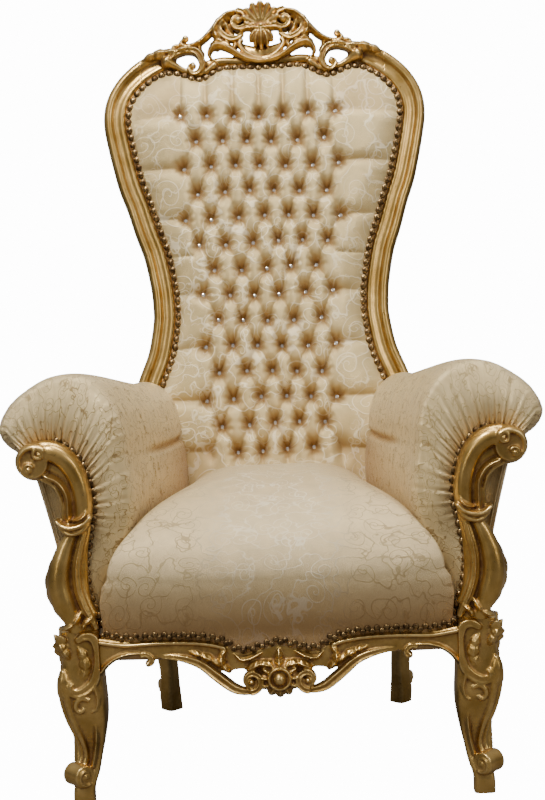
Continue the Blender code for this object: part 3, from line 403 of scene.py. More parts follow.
def mark_relief(mesh, reach, rounds):
    """Writes "relief": how far each point stands out of the same surface averaged many times over."""
    points = read(mesh.vertices, "co", 3)
    edges = read(mesh.edges, "vertices", 2, int)
    normals = read(mesh.vertices, "normal", 3)
    softened = points
    for _ in range(rounds):
        softened = neighbour_mean(softened, edges)
    out = ((points - softened) * normals).sum(1) / reach
    relief = mesh.attributes.new("relief", "FLOAT", "POINT")
    relief.data.foreach_set("value", np.clip(out, -1, 1).astype(np.float32))


def linked(name, mesh, paint):
    """New piece of that mesh, smooth shaded, painted, and riding with the frame."""
    mesh.name = name
    mesh.polygons.foreach_set("use_smooth", np.ones(len(mesh.polygons), bool))
    mesh.materials.clear()
    mesh.materials.append(paint)
    piece = bpy.data.objects.new(name, mesh)
    bpy.context.scene.collection.objects.link(piece)
    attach(piece, "root")
    return piece


def trim(stock, point, direction, geometry=None):
    """Cuts a mesh being edited flat at a point, drops what lies in the direction and shuts the hole."""
    geometry = geometry or stock.verts[:] + stock.edges[:] + stock.faces[:]
    cut = bmesh.ops.bisect_plane(
        stock, geom=geometry, plane_co=point, plane_no=direction, clear_outer=True
    )["geom_cut"]
    rim = [item for item in cut if isinstance(item, bmesh.types.BMEdge)]
    bmesh.ops.holes_fill(stock, edges=rim, sides=0)


def carving(name, shapes, grain, planes, place):
    """Fuses overlapping shapes, in millimetres, into one carved piece.

    Voxels of the grain, in metres, give one skin; points then move half way to the mean of their
    neighbours, twice. Planes are (point, outward direction) pairs that trim it flat.
    """
    mesh = bpy.data.meshes.new(name)
    points = []
    faces = []
    seen = 0
    for shape_points, shape_faces in shapes:
        points.append(shape_points)
        faces += [[i + seen for i in face] for face in shape_faces]
        seen += len(shape_points)
    mesh.from_pydata((np.vstack(points) * MM).tolist(), [], faces)
    holder = bpy.data.objects.new(name, mesh)
    bpy.context.scene.collection.objects.link(holder)
    fuse = holder.modifiers.new("fuse", "REMESH")
    fuse.mode = "VOXEL"
    fuse.voxel_size = grain
    bpy.context.view_layer.update()
    depsgraph = bpy.context.evaluated_depsgraph_get()
    fused = bpy.data.meshes.new_from_object(holder.evaluated_get(depsgraph))
    bpy.data.objects.remove(holder)
    places = read(fused.vertices, "co", 3)
    edges = read(fused.edges, "vertices", 2, int)
    for _ in range(2):
        places = 0.5 * places + 0.5 * neighbour_mean(places, edges)
    fused.vertices.foreach_set("co", places.ravel())
    fused.update()
    stock = bmesh.new()
    stock.from_mesh(fused)
    for point, direction in planes:
        trim(stock, point, direction)
    stock.to_mesh(fused)
    stock.free()
    mark_relief(fused, 2.8 * MM, 14)
    fused.transform(place)
    return linked(name, fused, gilt)


def twin(name, piece):
    """Mirror image of a piece across the middle of the throne."""
    mesh = piece.data.copy()
    mesh.transform(Matrix.Diagonal((-1.0, 1.0, 1.0, 1.0)))
    mesh.flip_normals()
    return linked(name, mesh, piece.data.materials[0])


IN_THRONE = Matrix.Translation((0.0, -FRONT_SETBACK, 0.0))
IN_BACK = Matrix.Translation((0.0, BACK_Y - FRONT_SETBACK, BACK_Z)) @ Matrix.Rotation(-BACK_LEAN, 4, "X")

# The edge of the padded back, drawn up its right side and over the top to the middle
PAD_EDGE = (
    (236, -110), (240, -30), (252, 60), (266, 150), (268, 220), (256, 290), (228, 365), (214, 440),
    (213, 480), (217, 530), (231, 603), (250, 660), (267, 717), (284, 765), (295, 809), (306, 860),
    (313, 905), (309, 940), (293, 970), (272, 992), (250, 1008), (228, 1018), (205, 1021),
    (185, 1017), (165, 1008), (145, 1002), (128, 1008), (105, 1022), (80, 1028), (40, 1027), (0, 1025),
)
EDGE_STEPS = 9
SHOULDER = 18 * EDGE_STEPS
PAST_JOINT = 20 * EDGE_STEPS
pad_edge = smooth(PAD_EDGE, EDGE_STEPS)
moulding_line = pad_edge + sideways(pad_edge) * MOULDING_WIDTH / MM / 2

# Section of the moulding (across, depth) as shares: outer side, broad bead, shallow cove, inner roll
MOULDING = (
    (-0.54, 0.68), (-0.57, 0.40), (-0.57, 0.16), (-0.555, 0.0), (-0.51, -0.13), (-0.44, -0.22),
    (-0.35, -0.27), (-0.25, -0.265), (-0.165, -0.205), (-0.11, -0.12), (-0.045, -0.07), (0.05, -0.065),
    (0.15, -0.09), (0.25, -0.135), (0.34, -0.15), (0.41, -0.12), (0.45, -0.05), (0.465, 0.05), (0.46, 0.68),
)


def moulding(path, scales):
    """Moulding along an upward path of the right side: its section square to the path at each point."""
    section = smooth(MOULDING, 3)
    outward = sideways(path)
    size = MOULDING_WIDTH / MM * scales[:, None]
    x = path[:, 0:1] - outward[:, 0:1] * section[None, :, 0] * size
    z = path[:, 1:2] - outward[:, 1:2] * section[None, :, 0] * size
    y = section[None, :, 1] * MOULDING_DEPTH / MM * scales[:, None]
    return tube(np.stack([x, y + 0 * x, z], -1))


CREST_CARVING = (
    # leaf that lies over the end of the moulding
    (-8, 19, "leaf", 3, ((188, 1064, 6), (212, 1061, 10), (238, 1057, 11), (258, 1051, 8), (272, 1044, 3))),
    # strip under the scrolls, along the nails
    (-2, 16, "round", 0, ((215, 1040, 15), (196, 1030, 9), (180, 1021, 7), (165, 1016, 6), (150, 1009, 6),
                          (130, 1015, 6), (108, 1030, 8))),
    # large side scroll and its tail
    (-9, 21, "channel", 0, ((205, 1052, 8), (188, 1060, 8), (169, 1064, 8), (150, 1060, 8.5),
                            (139, 1046, 8.5),
                            (136, 1030, 7.5), (143, 1016, 6), (155, 1011, 5), (163, 1018, 5),
                            (165, 1028, 4.5),
                            (156, 1034, 4))),
    (-16, 14, "leaf", 3, ((150, 1062, 3), (166, 1067, 6), (184, 1064, 6), (198, 1055, 4), (204, 1046, 2))),
    # long leaf from the middle to the side scroll
    (-12, 18, "ridge", 0, ((0, 1033, 5), (30, 1038, 6.5), (52, 1050, 7), (75, 1065, 8), (98, 1073, 8),
                           (112, 1068, 7.5), (119, 1054, 5), (115, 1044, 3))),
    (-8, 15, "leaf", 2, ((60, 1062, 3), (82, 1078, 6), (100, 1083, 6), (116, 1078, 3))),
    # ground along the pad
    (4, 14, "round", 0, ((128, 1034, 9), (90, 1040, 10), (50, 1037, 10), (0, 1034, 10))),
    # bowl under the shell and its rim
    (6, 12, "round", 0, ((0, 1054, 17), (22, 1060, 15), (40, 1070, 10))),
    (-8, 14, "round", 0, ((0, 1041, 4), (24, 1046, 4.5), (42, 1060, 5), (50, 1076, 5), (44, 1084, 4))),
    # upper rail that rises to the shell's scroll
    (-8, 19, "ridge", 0, ((172, 1092, 4.5), (180, 1087, 5), (182, 1079, 6), (170, 1074, 7), (150, 1078, 7),
                          (130, 1090, 7.5), (112, 1108, 8), (97, 1127, 8), (78, 1144, 8), (57, 1150, 7))),
    (-14, 15, "leaf", 3, ((92, 1084, 3), (103, 1096, 7), (106, 1112, 7), (98, 1130, 5), (88, 1140, 3))),
    # band under that scroll
    (-7, 17, "channel", 0, ((44, 1098, 5), (56, 1090, 6), (70, 1088, 7), (87, 1098, 7), (95, 1115, 6.5),
                            (88, 1136, 5))),
    (-6, 14, "leaf", 3, ((104, 1104, 5), (95, 1118, 9), (84, 1132, 9), (68, 1146, 6))),
    (-6, 14, "ridge", 0, ((66, 1098, 6), (74, 1108, 7), (78, 1120, 7))),
    # struts between the rails
    (-4, 13, "ridge", 0, ((64, 1060, 6), (60, 1074, 5), (62, 1088, 6))),
    (-4, 13, "ridge", 0, ((101, 1068, 6), (100, 1080, 5), (104, 1092, 6))),
    (-4, 15, "ridge", 0, ((136, 1056, 7), (141, 1068, 6), (142, 1080, 7))),
    (-4, 12, "round", 0, ((176, 1062, 5), (184, 1078, 5))),
    # small leaves on the outer edge
    (-4, 12, "leaf", 2, ((186, 1074, 4), (196, 1077, 6), (204, 1070, 4))),
    (-2, 11, "leaf", 2, ((204, 1062, 5), (216, 1068, 6), (226, 1064, 3))),
    # hanging palmette, from its middle finger outwards
    (-20, 17, "ridge", 0, ((0, 1104, 6), (0, 1084, 7.5), (0, 1062, 4))),
    (-18, 16, "ridge", 0, ((6, 1102, 5), (12, 1086, 6.5), (14, 1068, 4))),
    (-16, 15, "ridge", 0, ((10, 1104, 5), (21, 1093, 6), (24, 1081, 4))),
    # brow over the palmette
    (-16, 16, "ridge", 0, ((0, 1106, 6), (18, 1108, 6), (34, 1108, 5), (44, 1104, 4))),
)
CREST_BOSSES = (
    ((156, -16, 1027), (7, 14, 7)), ((172, -12, 1092), (8, 14, 8)), ((194, -8, 1077), (6, 10, 6)),
    ((51, -22, 1127), (8.5, 15, 8.5)), ((0, -22, 1112), (8, 15, 6)), ((17, -18, 1115), (5, 14, 4)),
    ((30, -18, 1110), (5, 12, 4)), ((0, -26, 1097), (5, 13, 5)),
)
crest_shapes = []
for middle, half_depth, cut, lobes, points in CREST_CARVING:
    crest_shapes.append(carved_roll(points, middle, half_depth, cut, lobes))
for (x, y, z), radii in CREST_BOSSES:
    crest_shapes.append(ball(x, y, z, radii))
# ribs of the shell: (degrees from upright, reach, half width at the tip)
for degrees, reach, width in ((0, 51.5, 8.4), (21, 51, 8.0), (42, 49, 7.6), (63, 44, 7.0), (84, 34, 5.6)):
    lean = math.radians(degrees)
    heading = np.array((math.sin(lean), math.cos(lean)))
    rib_sizes = ((0.1, 2.6), (0.55, width * 0.66), (0.96, width))
    rib = [(*(heading * part * reach + (0, SHELL_FOOT)), size) for part, size in rib_sizes]
    crest_shapes.append(carved_roll(rib, -12, 14 + 4 * math.cos(lean), "round"))
crest_shapes.append(carved_roll([(0, 1112, 10), (16, 1118, 10), (34, 1120, 6)], -4, 13))
crest_shapes.append(carved_roll([(0, 1130, 14), (22, 1134, 10)], -4, 10))
crest_shapes.append(carved_roll(spiral(51, 1127, 23.5, 8, 90, 420, 6.8, 3.6), -13, 18, "channel"))
crest_shapes.append(ball(51, 4, 1127, (25, 12, 25)))
crest_shapes.append(ball(0, 6, 1086, (15, 9, 26)))
crest_shapes.append(ball(82, 3, 1117, (17, 9, 22)))
crest_end = np.array(((238, 1039, 20), (215, 1043, 15), (196, 1040, 10)), float)
joint_run = moulding_line[SHOULDER - EDGE_STEPS : PAST_JOINT + 1 : EDGE_STEPS]
crest_line = np.vstack([joint_run, crest_end[:, :2]])
crest_scales = np.append(np.ones(len(joint_run)), crest_end[:, 2] * 2 / 48)
crest_path = smooth(np.column_stack([crest_line, crest_scales]), EDGE_STEPS)
crest_shapes.append(moulding(crest_path[:, :2], crest_path[:, 2]))
crest_planes = (
    ((CREST_JOINT_X, 0, 0), (1, 0, 0)),
    ((-CREST_JOINT_X, 0, 0), (-1, 0, 0)),
    ((0, 0.0295, 0), (0, 1, 0)),
)
crest = carving("carved_crest_rail", both_hands(crest_shapes), CREST_GRAIN, crest_planes, IN_BACK)
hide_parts("crest_rail")

# Stiles: the moulded sides of the back, beech run with a bead, a cove and an inner fillet, gilded,
# and tenoned into the seat rails below and the crest above.
stile_points, stile_faces = moulding(even(moulding_line[: PAST_JOINT + 1], 170), np.ones(170))
stock = bmesh.new()
stile_mesh = bpy.data.meshes.new("stile")
stile_mesh.from_pydata((stile_points * MM).tolist(), [], stile_faces)
stock.from_mesh(stile_mesh)
upper = [v for v in stock.verts if v.co.z > 0.9]
upper_edges = set(e for v in upper for e in v.link_edges)
upper_faces = set(f for v in upper for f in v.link_faces)
trim(stock, (CREST_JOINT_X, 0, 0), (-1, 0, 0), list(upper_edges | upper_faces | set(upper)))
stock.transform(IN_BACK)
trim(stock, (0, 0, 0.3455), (0, 0, -1))
bmesh.ops.recalc_face_normals(stock, faces=stock.faces[:])
stock.to_mesh(stile_mesh)
stock.free()
mark_relief(stile_mesh, 8.0 * MM, 10)
stile = linked("moulded_stile_right", stile_mesh, gilt)
left_stile = twin("moulded_stile_left", stile)
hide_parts("back_stile_right")
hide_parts("back_stile_left")

# Front rail: the scalloped apron under the seat, carved with swinging bands, two eyes and a rosette,
# gilded like the crest and tenoned between the front legs.
RAIL_WAVE = (
    (0, 310), (39, 299.5), (64, 294), (85, 300), (100, 312), (130, 320.5), (173, 325), (229, 326),
    (286, 324), (315, 327), (345, 332),
)
RAIL_UNDERSIDE = (
    (345, 261), (328, 277), (311, 290), (290, 296), (258, 295), (240, 284), (225, 290), (190, 288),
    (172, 284), (147, 272), (125, 263), (100, 259), (70, 262), (40, 254), (20, 230), (0, 225),
)
RAIL_CARVING = (
    # band that swings from the underside into the eye beside the rosette
    (-21, 18, "channel", 0, ((222, 291, 4), (200, 290, 6), (172, 284, 8), (147, 273, 9), (125, 255, 10),
                             (102, 236, 10), (85, 224, 9), (64, 218, 7), (45, 220, 6))),
    # small drop scroll
    (-19, 17, "channel", 0, ((262, 296, 5), (252, 297, 5), (243, 290, 5.5), (243, 281, 6), (250, 277, 5))),
    # bead along the underside, up to the leg
    (-20, 15, "ridge", 0, ((348, 258, 6), (338, 268, 6), (328, 280, 6), (311, 292, 6), (290, 299, 6),
                           (266, 300, 5))),
    # bead along the top
    (-25, 9, "round", 0, ((344, 324, 4), (315, 319, 4), (286, 316, 4), (229, 318, 4), (173, 317, 4),
                          (130, 312, 4),
                          (104, 305, 4))),
    # rising leaf above the opening
    (-23, 16, "leaf", 3, ((95, 258, 5), (108, 276, 8), (108, 292, 7), (98, 304, 3))),
    (-23, 13, "leaf", 3, ((108, 268, 4), (128, 284, 7), (150, 294, 6), (170, 300, 3))),
    # leaf from the eye towards the middle
    (-24, 17, "leaf", 2, ((60, 262, 6), (42, 272, 8), (24, 272, 7), (10, 264, 4))),
    (-22, 14, "ridge", 0, ((84, 292, 3), (70, 282, 6), (50, 286, 6), (32, 294, 3))),
    # pointed leaf over the rosette
    (-24, 16, "leaf", 2, ((0, 262, 10), (0, 280, 9), (0, 302, 3))),
)
ROSETTE_Z = 244.7
rail_wave = smooth(RAIL_WAVE, 8)


def under_wave(shape):
    """The shape, its points above the rail's scalloped top brought down to it."""
    points, faces = shape
    top = np.interp(np.abs(points[:, 0]), rail_wave[:, 0], rail_wave[:, 1])
    points = points.copy()
    points[:, 2] = np.minimum(points[:, 2], top)
    return points, faces


rail_outline = np.vstack([rail_wave, smooth(RAIL_UNDERSIDE, 8)])
rail_shapes = [board(rail_outline, -26.5, 6)]
for middle, half_depth, cut, lobes, points in RAIL_CARVING:
    rail_shapes.append(carved_roll(points, middle, half_depth, cut, lobes))
rail_shapes.append(carved_roll(spiral(53.5, 239, 20.5, 6, -90, -440, 7, 4.2), -24, 18, "channel"))
rail_shapes.append(ball(53.5, -26, 239, (6.5, 18, 6.5)))
rail_shapes.append(ball(250, -22, 280, (5, 15, 5)))
rail_shapes.append(ball(0, -14, ROSETTE_Z, (27, 24, 27)))
rail_shapes.append(carved_roll(spiral(0, ROSETTE_Z, 20, 20, -90, 180, 4.6, 4.6, 24), -26, 21))
rail_shapes.append(ball(0, -30, ROSETTE_Z, (15, 26, 15)))
for degrees in (-90, -60, -30, 0, 30, 60):
    turn = math.radians(degrees)
    reach = np.array((math.cos(turn), math.sin(turn)))
    petal = [(*(reach * r + (0, ROSETTE_Z)), w) for r, w in ((20, 7.5), (27, 9.5), (32, 8.5))]
    rail_shapes.append(carved_roll(petal, -22, 19, "ridge"))
rail_shapes = [under_wave(shape) for shape in both_hands(rail_shapes)]
rail_end = 386.0 - 45.0 - 0.3
rail_planes = (
    ((rail_end * MM, 0, 0), (1, 0, 0)),
    ((-rail_end * MM, 0, 0), (-1, 0, 0)),
    ((0, 0.006, 0), (0, 1, 0)),
)
front_rail = carving("carved_front_rail", rail_shapes, 0.0018, rail_planes, IN_THRONE)
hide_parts("front_rail")

# Front legs: cabriole legs carved from one baulk each, alike on the front and the outer side, with a
# C-scroll on the knee, two reeds down the corner, a scrolled toe and a plain block under it.
LEG_X = 386.0
LEG_TOP = 345.0
FRONT_LEG = (
    (355, -7.5, 37.5), (325, -7.5, 37.5), (297, -8.5, 37.5), (266, -8.5, 40), (235, -8, 42),
    (197, -10, 42), (165, -14.5, 36), (122, -19.5, 23.5), (90, -17, 19), (60, -9.5, 20.5),
    (30, -0.5, 20.5), (-10, 0, 20.5),
)
LEG_SCROLL = (
    (-6, 330, 6), (-18, 337, 8), (-33, 335, 8.5), (-41, 321, 8.5), (-43, 300, 8), (-41, 275, 8.5),
    (-33, 250, 9.5), (-18, 234, 10), (0, 227, 9.5), (13, 232, 8), (13, 244, 6),
)
LEG_CUTS = (
    (LEG_SCROLL, -31, 9, "channel", 0),
    (((14, 298, 7), (24, 316, 9), (33, 333, 6), (39, 341, 3)), -27, 13, "leaf", 3),
    (((-34, 238, 7), (-38, 214, 6), (-34, 196, 5), (-26, 190, 4)), -27, 10, "ridge", 0),
    (((-10, 252, 6), (-18, 276, 10), (-14, 300, 9), (-6, 316, 4)), -29, 8, "leaf", 3),
    (((26, 268, 6), (30, 250, 9), (26, 226, 10), (16, 214, 7)), -26, 12, "ridge", 0),
    (((-20, 214, 5), (-8, 218, 6), (3, 210, 6), (4, 197, 5), (-4, 190, 4),
      (-11, 196, 4)), -28, 10, "round", 0),
    (((-24, 184, 4), (-30, 150, 5), (-27, 110, 5), (-20, 78, 5)), -8, 13, "ridge", 0),
)
LEG_REED = ((27, 236, 8), (25, 205, 7), (17, 168, 6), (3, 125, 5), (-2, 95, 5), (6, 70, 6))


def square_rings(middles, halves, heights, degrees):
    """Rings of a square section with well rounded corners: sign times the root of cosine and of sine."""
    plain = np.linspace(0.0, 2 * np.pi, 40, endpoint=False)[None, :]
    x = np.sign(np.cos(plain)) * np.abs(np.cos(plain)) ** 0.45
    y = np.sign(np.sin(plain)) * np.abs(np.sin(plain)) ** 0.45
    turn = np.radians(degrees)[:, None]
    across = np.cos(turn) * x - np.sin(turn) * y
    deep = np.sin(turn) * x + np.cos(turn) * y
    half = halves[:, None]
    rings = (across * half + middles[:, :1], deep * half + middles[:, 1:], heights[:, None] + 0 * across)
    return np.stack(rings, -1)


def scroll_end(middle, z, radius, half_length, degrees):
    """Scrolled end seen from both sides: a level roller with a spiral rim and an eye on each face."""
    size = np.array((0.72, 0.97, 1.0, 1.0, 1.0, 1.0, 0.97, 0.72)) * radius
    along = np.array((-1.0, -0.97, -0.85, -0.3, 0.3, 0.85, 0.97, 1.0)) * half_length
    around = np.linspace(0.0, 2 * np.pi, 36, endpoint=False)[None, :]
    x = np.cos(around) * size[:, None]
    z_off = np.sin(around) * size[:, None]
    roller = tube(np.stack([x, along[:, None] + 0 * x, z_off], -1))
    shapes = [roller]
    for side in (-1, 1):
        rim = carved_roll(spiral(0, 0, radius * 0.84, radius * 0.3, -120, 330, 2.6, 2.0), 0, 3.2)
        rim = placed(rim, Matrix.Translation((0, side * half_length, 0)))
        shapes += [rim, ball(0, side * half_length, 0, (radius * 0.24, 3.6, radius * 0.24))]
    turned = Matrix.Translation((*middle, z)) @ Matrix.Rotation(math.radians(degrees - 90), 4, "Z")
    return [placed(shape, turned) for shape in shapes]


front_face = Matrix.Translation((LEG_X, 0.0, 0.0))
side_face = front_face @ Matrix(((0, -1, 0, 0), (-1, 0, 0, 0), (0, 0, 1, 0), (0, 0, 0, 1)))
corner = front_face @ Matrix.Rotation(math.radians(-45), 4, "Z")
levels = smooth(FRONT_LEG, 6)
leg_middles = np.column_stack([LEG_X + levels[:, 1], -levels[:, 1]])
leg_shapes = [tube(square_rings(leg_middles, levels[:, 2], levels[:, 0], np.zeros(len(levels))))]
for face in (front_face, side_face):
    for points, middle, half_depth, cut, lobes in LEG_CUTS:
        leg_shapes.append(placed(carved_roll(points, middle, half_depth, cut, lobes), face))
for reed in (-7, 7):
    leg_shapes.append(placed(carved_roll(np.array(LEG_REED) * (1.38, 1, 1), reed, 6), corner))
leg_shapes += scroll_end((LEG_X + 9, -9), 60, 22, 22, 45)
leg_shapes += scroll_end((LEG_X + 19, -19), 238, 15, 17, 45)
block_halves = np.array((19.0, 20.5, 20.5, 20.0))
block_levels = np.array((-4.0, 0, 27, 30))
foot = square_rings(np.full((4, 2), (LEG_X, 0.0)), block_halves, block_levels, np.zeros(4))
leg_shapes.append(tube(foot))


def clear_of_rails(shape):
    """The leg's shape with flat faces where the front rail and the side rail are tenoned in."""
    points, faces = shape
    points = points.copy()
    beside = points[:, 2] > 257
    points[:, 0] = np.where(beside, np.maximum(points[:, 0], LEG_X - 45), points[:, 0])
    behind = points[:, 2] > 276
    points[:, 1] = np.where(behind, np.minimum(points[:, 1], 45), points[:, 1])
    return points, faces


leg_planes = (((0, 0, LEG_TOP * MM), (0, 0, 1)), ((0, 0, 0), (0, 0, -1)))
leg_shapes = [clear_of_rails(shape) for shape in leg_shapes]
front_leg = carving("cabriole_leg_right", leg_shapes, 0.0017, leg_planes, IN_THRONE)
front_leg_left = twin("cabriole_leg_left", front_leg)
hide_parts("front_leg_right")
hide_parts("front_leg_left")

# Rear legs: plainer cabriole legs that splay to the rear corners, with a small scrolled toe,
# gilded like the front legs.
REAR_LEG = (
    (310, 0, 32), (275, 3, 32), (235, 5, 29), (190, 2, 24), (140, -5, 20), (95, -7, 18),
    (60, -3, 19), (30, 0, 20.5), (-10, 0, 20.5),
)
REAR_TOP = np.array((280.0, 525.0))
REAR_FOOT = np.array((262.0, 620.0))
outwards = np.array((math.sqrt(0.5), math.sqrt(0.5)))
levels = smooth(REAR_LEG, 6)
share = np.clip(levels[:, 0] / LEG_TOP, 0, 1)[:, None]
rear_middles = REAR_FOOT + (REAR_TOP - REAR_FOOT) * share + outwards * levels[:, 1:2]
rear_shapes = [tube(square_rings(rear_middles, levels[:, 2], levels[:, 0], 45 * (1 - share[:, 0])))]
block = np.full((6, 2), REAR_TOP)
block_levels = np.array((262.0, 270, 275, 330, 345, 352))
block_halves = np.array((22.0, 32, 37.0, 37.0, 37.0, 36.5))
rear_shapes.append(tube(square_rings(block, block_halves, block_levels, np.zeros(6))))
rear_shapes += scroll_end(REAR_FOOT + outwards * 12, 56, 17, 19, -45)
rear_leg = carving("splayed_leg_right", rear_shapes, 0.0024, leg_planes, IN_THRONE)
rear_leg_left = twin("splayed_leg_left", rear_leg)
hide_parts("rear_leg_right")
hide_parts("rear_leg_left")

# Side and rear rails: plain beech boards, thinly gilded, tenoned between the legs; the lower rail of
# the back is bare beech inside the upholstery. The solids of the frame are shown as they are.
thin_gilt = gilding("thin gilding", (0.50, 0.31, 0.11), (0.66, 0.47, 0.22), (0.16, 0.06, 0.02))
for node in ("side_rail_left", "side_rail_right", "rear_rail"):
    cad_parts[node].material_slots[0].material = thin_gilt
beech, tree, shader = new_paint("beech")
along_grain = node_in(tree, "ShaderNodeMapping", ((0, own_place(tree)), (3, (6.0, 90.0, 90.0)))).outputs[0]
grain = noise(tree, along_grain, 1.0, 6.0)
brown = blended(tree, grain, (0.20, 0.11, 0.05, 1.0), (0.42, 0.26, 0.13, 1.0))
tree.links.new(brown, shader.inputs["Base Color"])
shader.inputs["Roughness"].default_value = 0.6
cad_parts["back_rail_lower"].material_slots[0].material = beech

# Arm fronts: carved S-shaped posts, gilded, that rise from the front legs, pass a collar and roll out
# into a volute with two eyes; the padded arms are nailed against them.
ARM_CARVING = (
    # backing under the carving
    (-12, 16, "round", 0, ((366, 545, 20), (380, 500, 26), (386, 440, 30), (380, 395, 29), (372, 352, 28))),
    # main roll, from the post up and outwards into the volute, and the bead along its inner edge
    (-22, 23, "round", 0, ((360, 556, 14), (358, 600, 16), (366, 640, 17), (384, 672, 18), (410, 690, 18),
                           (434, 690, 17))),
    (-14, 19, "round", 0, ((348, 560, 4), (344, 590, 4.5), (348, 622, 4.5), (357, 655, 4.5), (374, 684, 4.5),
                           (400, 704, 4.5), (430, 709, 5), (452, 702, 5))),
    # ground between that roll and the one under it
    (-12, 17, "round", 0, ((374, 552, 14), (374, 600, 16), (386, 640, 15), (408, 660, 15), (436, 668, 15))),
    # second moulding under it
    (-20, 22, "ridge", 0, ((386, 556, 8), (385, 598, 8), (391, 621, 8.5), (405, 638, 8), (424, 647, 8))),
    (-14, 16, "round", 0, ((398, 556, 4), (397, 590, 4), (404, 616, 4.5), (416, 630, 4), (434, 640, 4))),
    # collar
    (-26, 24, "round", 0, ((345, 567, 5), (358, 555, 6), (378, 549, 7), (396, 552, 6), (408, 561, 5))),
    (-24, 22, "round", 0, ((348, 556, 4), (360, 543, 5.5), (378, 537, 6), (394, 541, 5), (404, 550, 4))),
    (-26, 20, "ridge", 0, ((352, 590, 3), (352, 576, 6), (362, 566, 7), (376, 562, 4))),
    # belly
    (-20, 26, "round", 0, ((384, 532, 11), (397, 505, 16), (408, 470, 20), (411, 435, 22), (403, 400, 22),
                           (391, 372, 17), (384, 350, 14))),
    # rim outside the belly
    (-10, 16, "leaf", 5, ((398, 520, 4), (416, 488, 6), (431, 455, 6), (433, 425, 6), (423, 392, 5),
                          (408, 368, 4))),
    # inner rim, beside the nails, and the small hollow between it and the belly
    (-20, 19, "reed", 0, ((357, 543, 6), (367, 512, 8), (376, 470, 9), (375, 430, 9), (366, 398, 9),
                          (355, 374, 8),
                          (346, 352, 6))),
    (-12, 14, "round", 0, ((352, 535, 3), (360, 505, 5), (367, 470, 6), (365, 432, 6), (356, 400, 6),
                           (347, 378, 6))),
    # husks at the foot of the belly
    (-30, 15, "leaf", 2, ((372, 384, 4), (384, 366, 7), (398, 356, 6), (410, 352, 3))),
    (-30, 13, "leaf", 2, ((370, 350, 3), (364, 364, 6), (352, 372, 4))),
)
VOLUTE = (446, 674)
arm_shapes = []
for middle, half_depth, cut, lobes, points in ARM_CARVING:
    arm_shapes.append(carved_roll(points, middle, half_depth, cut, lobes))
arm_shapes.append(carved_roll(spiral(*VOLUTE, 31, 24, 130, -300, 8, 5), -22, 24))
arm_shapes.append(ball(VOLUTE[0], -16, VOLUTE[1], (37, 27, 37)))
disc = np.linspace(0.0, 2 * np.pi, 40, endpoint=False)[:, None]
arm_shapes.append(board(np.hstack([VOLUTE[0] + 27 * np.cos(disc), VOLUTE[1] + 27 * np.sin(disc)]), -42, -2))
arm_shapes.append(carved_roll(spiral(434, 691, 11, 3.5, 60, -400, 4.2, 3.0), -34, 16))
arm_shapes.append(ball(434, -38, 691, (5, 14, 5)))
arm_shapes.append(carved_roll(spiral(455, 663, 10, 3.5, 150, -400, 3.8, 2.8), -34, 14))
arm_shapes.append(ball(455, -36, 663, (4.5, 14, 4.5)))
arm_planes = (((0, -0.0003, 0), (0, 1, 0)), ((0, 0, 0.3453), (0, 0, -1)))
arm_front = carving("carved_arm_right", arm_shapes, 0.0018, arm_planes, IN_THRONE)
arm_front_left = twin("carved_arm_left", arm_front)
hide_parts("arm_front_right")
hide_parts("arm_front_left")

# Padded back: champagne satin damask over hair and webbing, drawn in by crystal buttons on a diamond
# pattern with folded pleats between them, and nailed all round its edge to the mouldings.
BUTTON_ACROSS = 57.5
BUTTON_DOWN = 58.3
TOP_ROW = 908.0
BUTTON_ROWS = (7, 6, 7, 6, 7, 6, 5, 6, 5, 6, 5, 6, 5, 4)
PAD_FRONT = 4.0
PAD_SWELL = 41.0

# Vine damask: thin scrolls, each about the point of its own cell, joined by tendrils and small leaves
vine_group, given, result = group_of(
    "vine damask",
    (
        ("NodeSocketVector", "Cloth", None),
        ("NodeSocketVector", "Place", None),
        ("NodeSocketFloat", "Shade share", 0.0),
        ("NodeSocketColor", "Ground", (0.72, 0.62, 0.46, 1.0)),
        ("NodeSocketColor", "Line", (0.50, 0.38, 0.24, 1.0)),
        ("NodeSocketColor", "Warm shade", (0.36, 0.19, 0.06, 1.0)),
        ("NodeSocketFloat", "Strength", 0.6),
    ),
    (("NodeSocketColor", "Colour"), ("NodeSocketFloat", "Roughness"), ("NodeSocketFloat", "Height")),
)
cloth = given.outputs["Cloth"]
sway = node_in(vine_group, "ShaderNodeTexNoise", (("Vector", cloth), ("Scale", 9.0), ("Detail", 1.0)))
shift = vector(vine_group, "SUBTRACT", sway.outputs["Color"], (0.5, 0.5, 0.5))
bent = vector(vine_group, "MULTIPLY_ADD", shift, (0.05, 0.05, 0.0), cloth)
scattered = (("Vector", bent), ("Scale", 12.5), ("Randomness", 0.7))
cells = node_in(vine_group, "ShaderNodeTexVoronoi", scattered, voronoi_dimensions="2D")
local = vector(vine_group, "SUBTRACT", bent, cells.outputs["Position"])
split = node_in(vine_group, "ShaderNodeSeparateXYZ", ((0, local),))
tint = node_in(vine_group, "ShaderNodeSeparateColor", ((0, cells.outputs["Color"]),))
bearing = number(vine_group, "ARCTAN2", split.outputs[1], split.outputs[0])
hand = number(vine_group, "SIGN", number(vine_group, "SUBTRACT", tint.outputs[0], 0.5))
turned = number(vine_group, "MULTIPLY", number(vine_group, "DIVIDE", bearing, 2 * math.pi), hand)
reach = node_in(vine_group, "ShaderNodeVectorMath", ((0, local),), operation="LENGTH").outputs["Value"]
winding = number(vine_group, "MULTIPLY_ADD", reach, 62.0, number(vine_group, "ADD", turned, tint.outputs[1]))
wound = number(vine_group, "FRACT", winding)
phase = number(vine_group, "ABSOLUTE", number(vine_group, "SUBTRACT", wound, 0.5))
within = ranged(vine_group, reach, 0.034, 0.028)
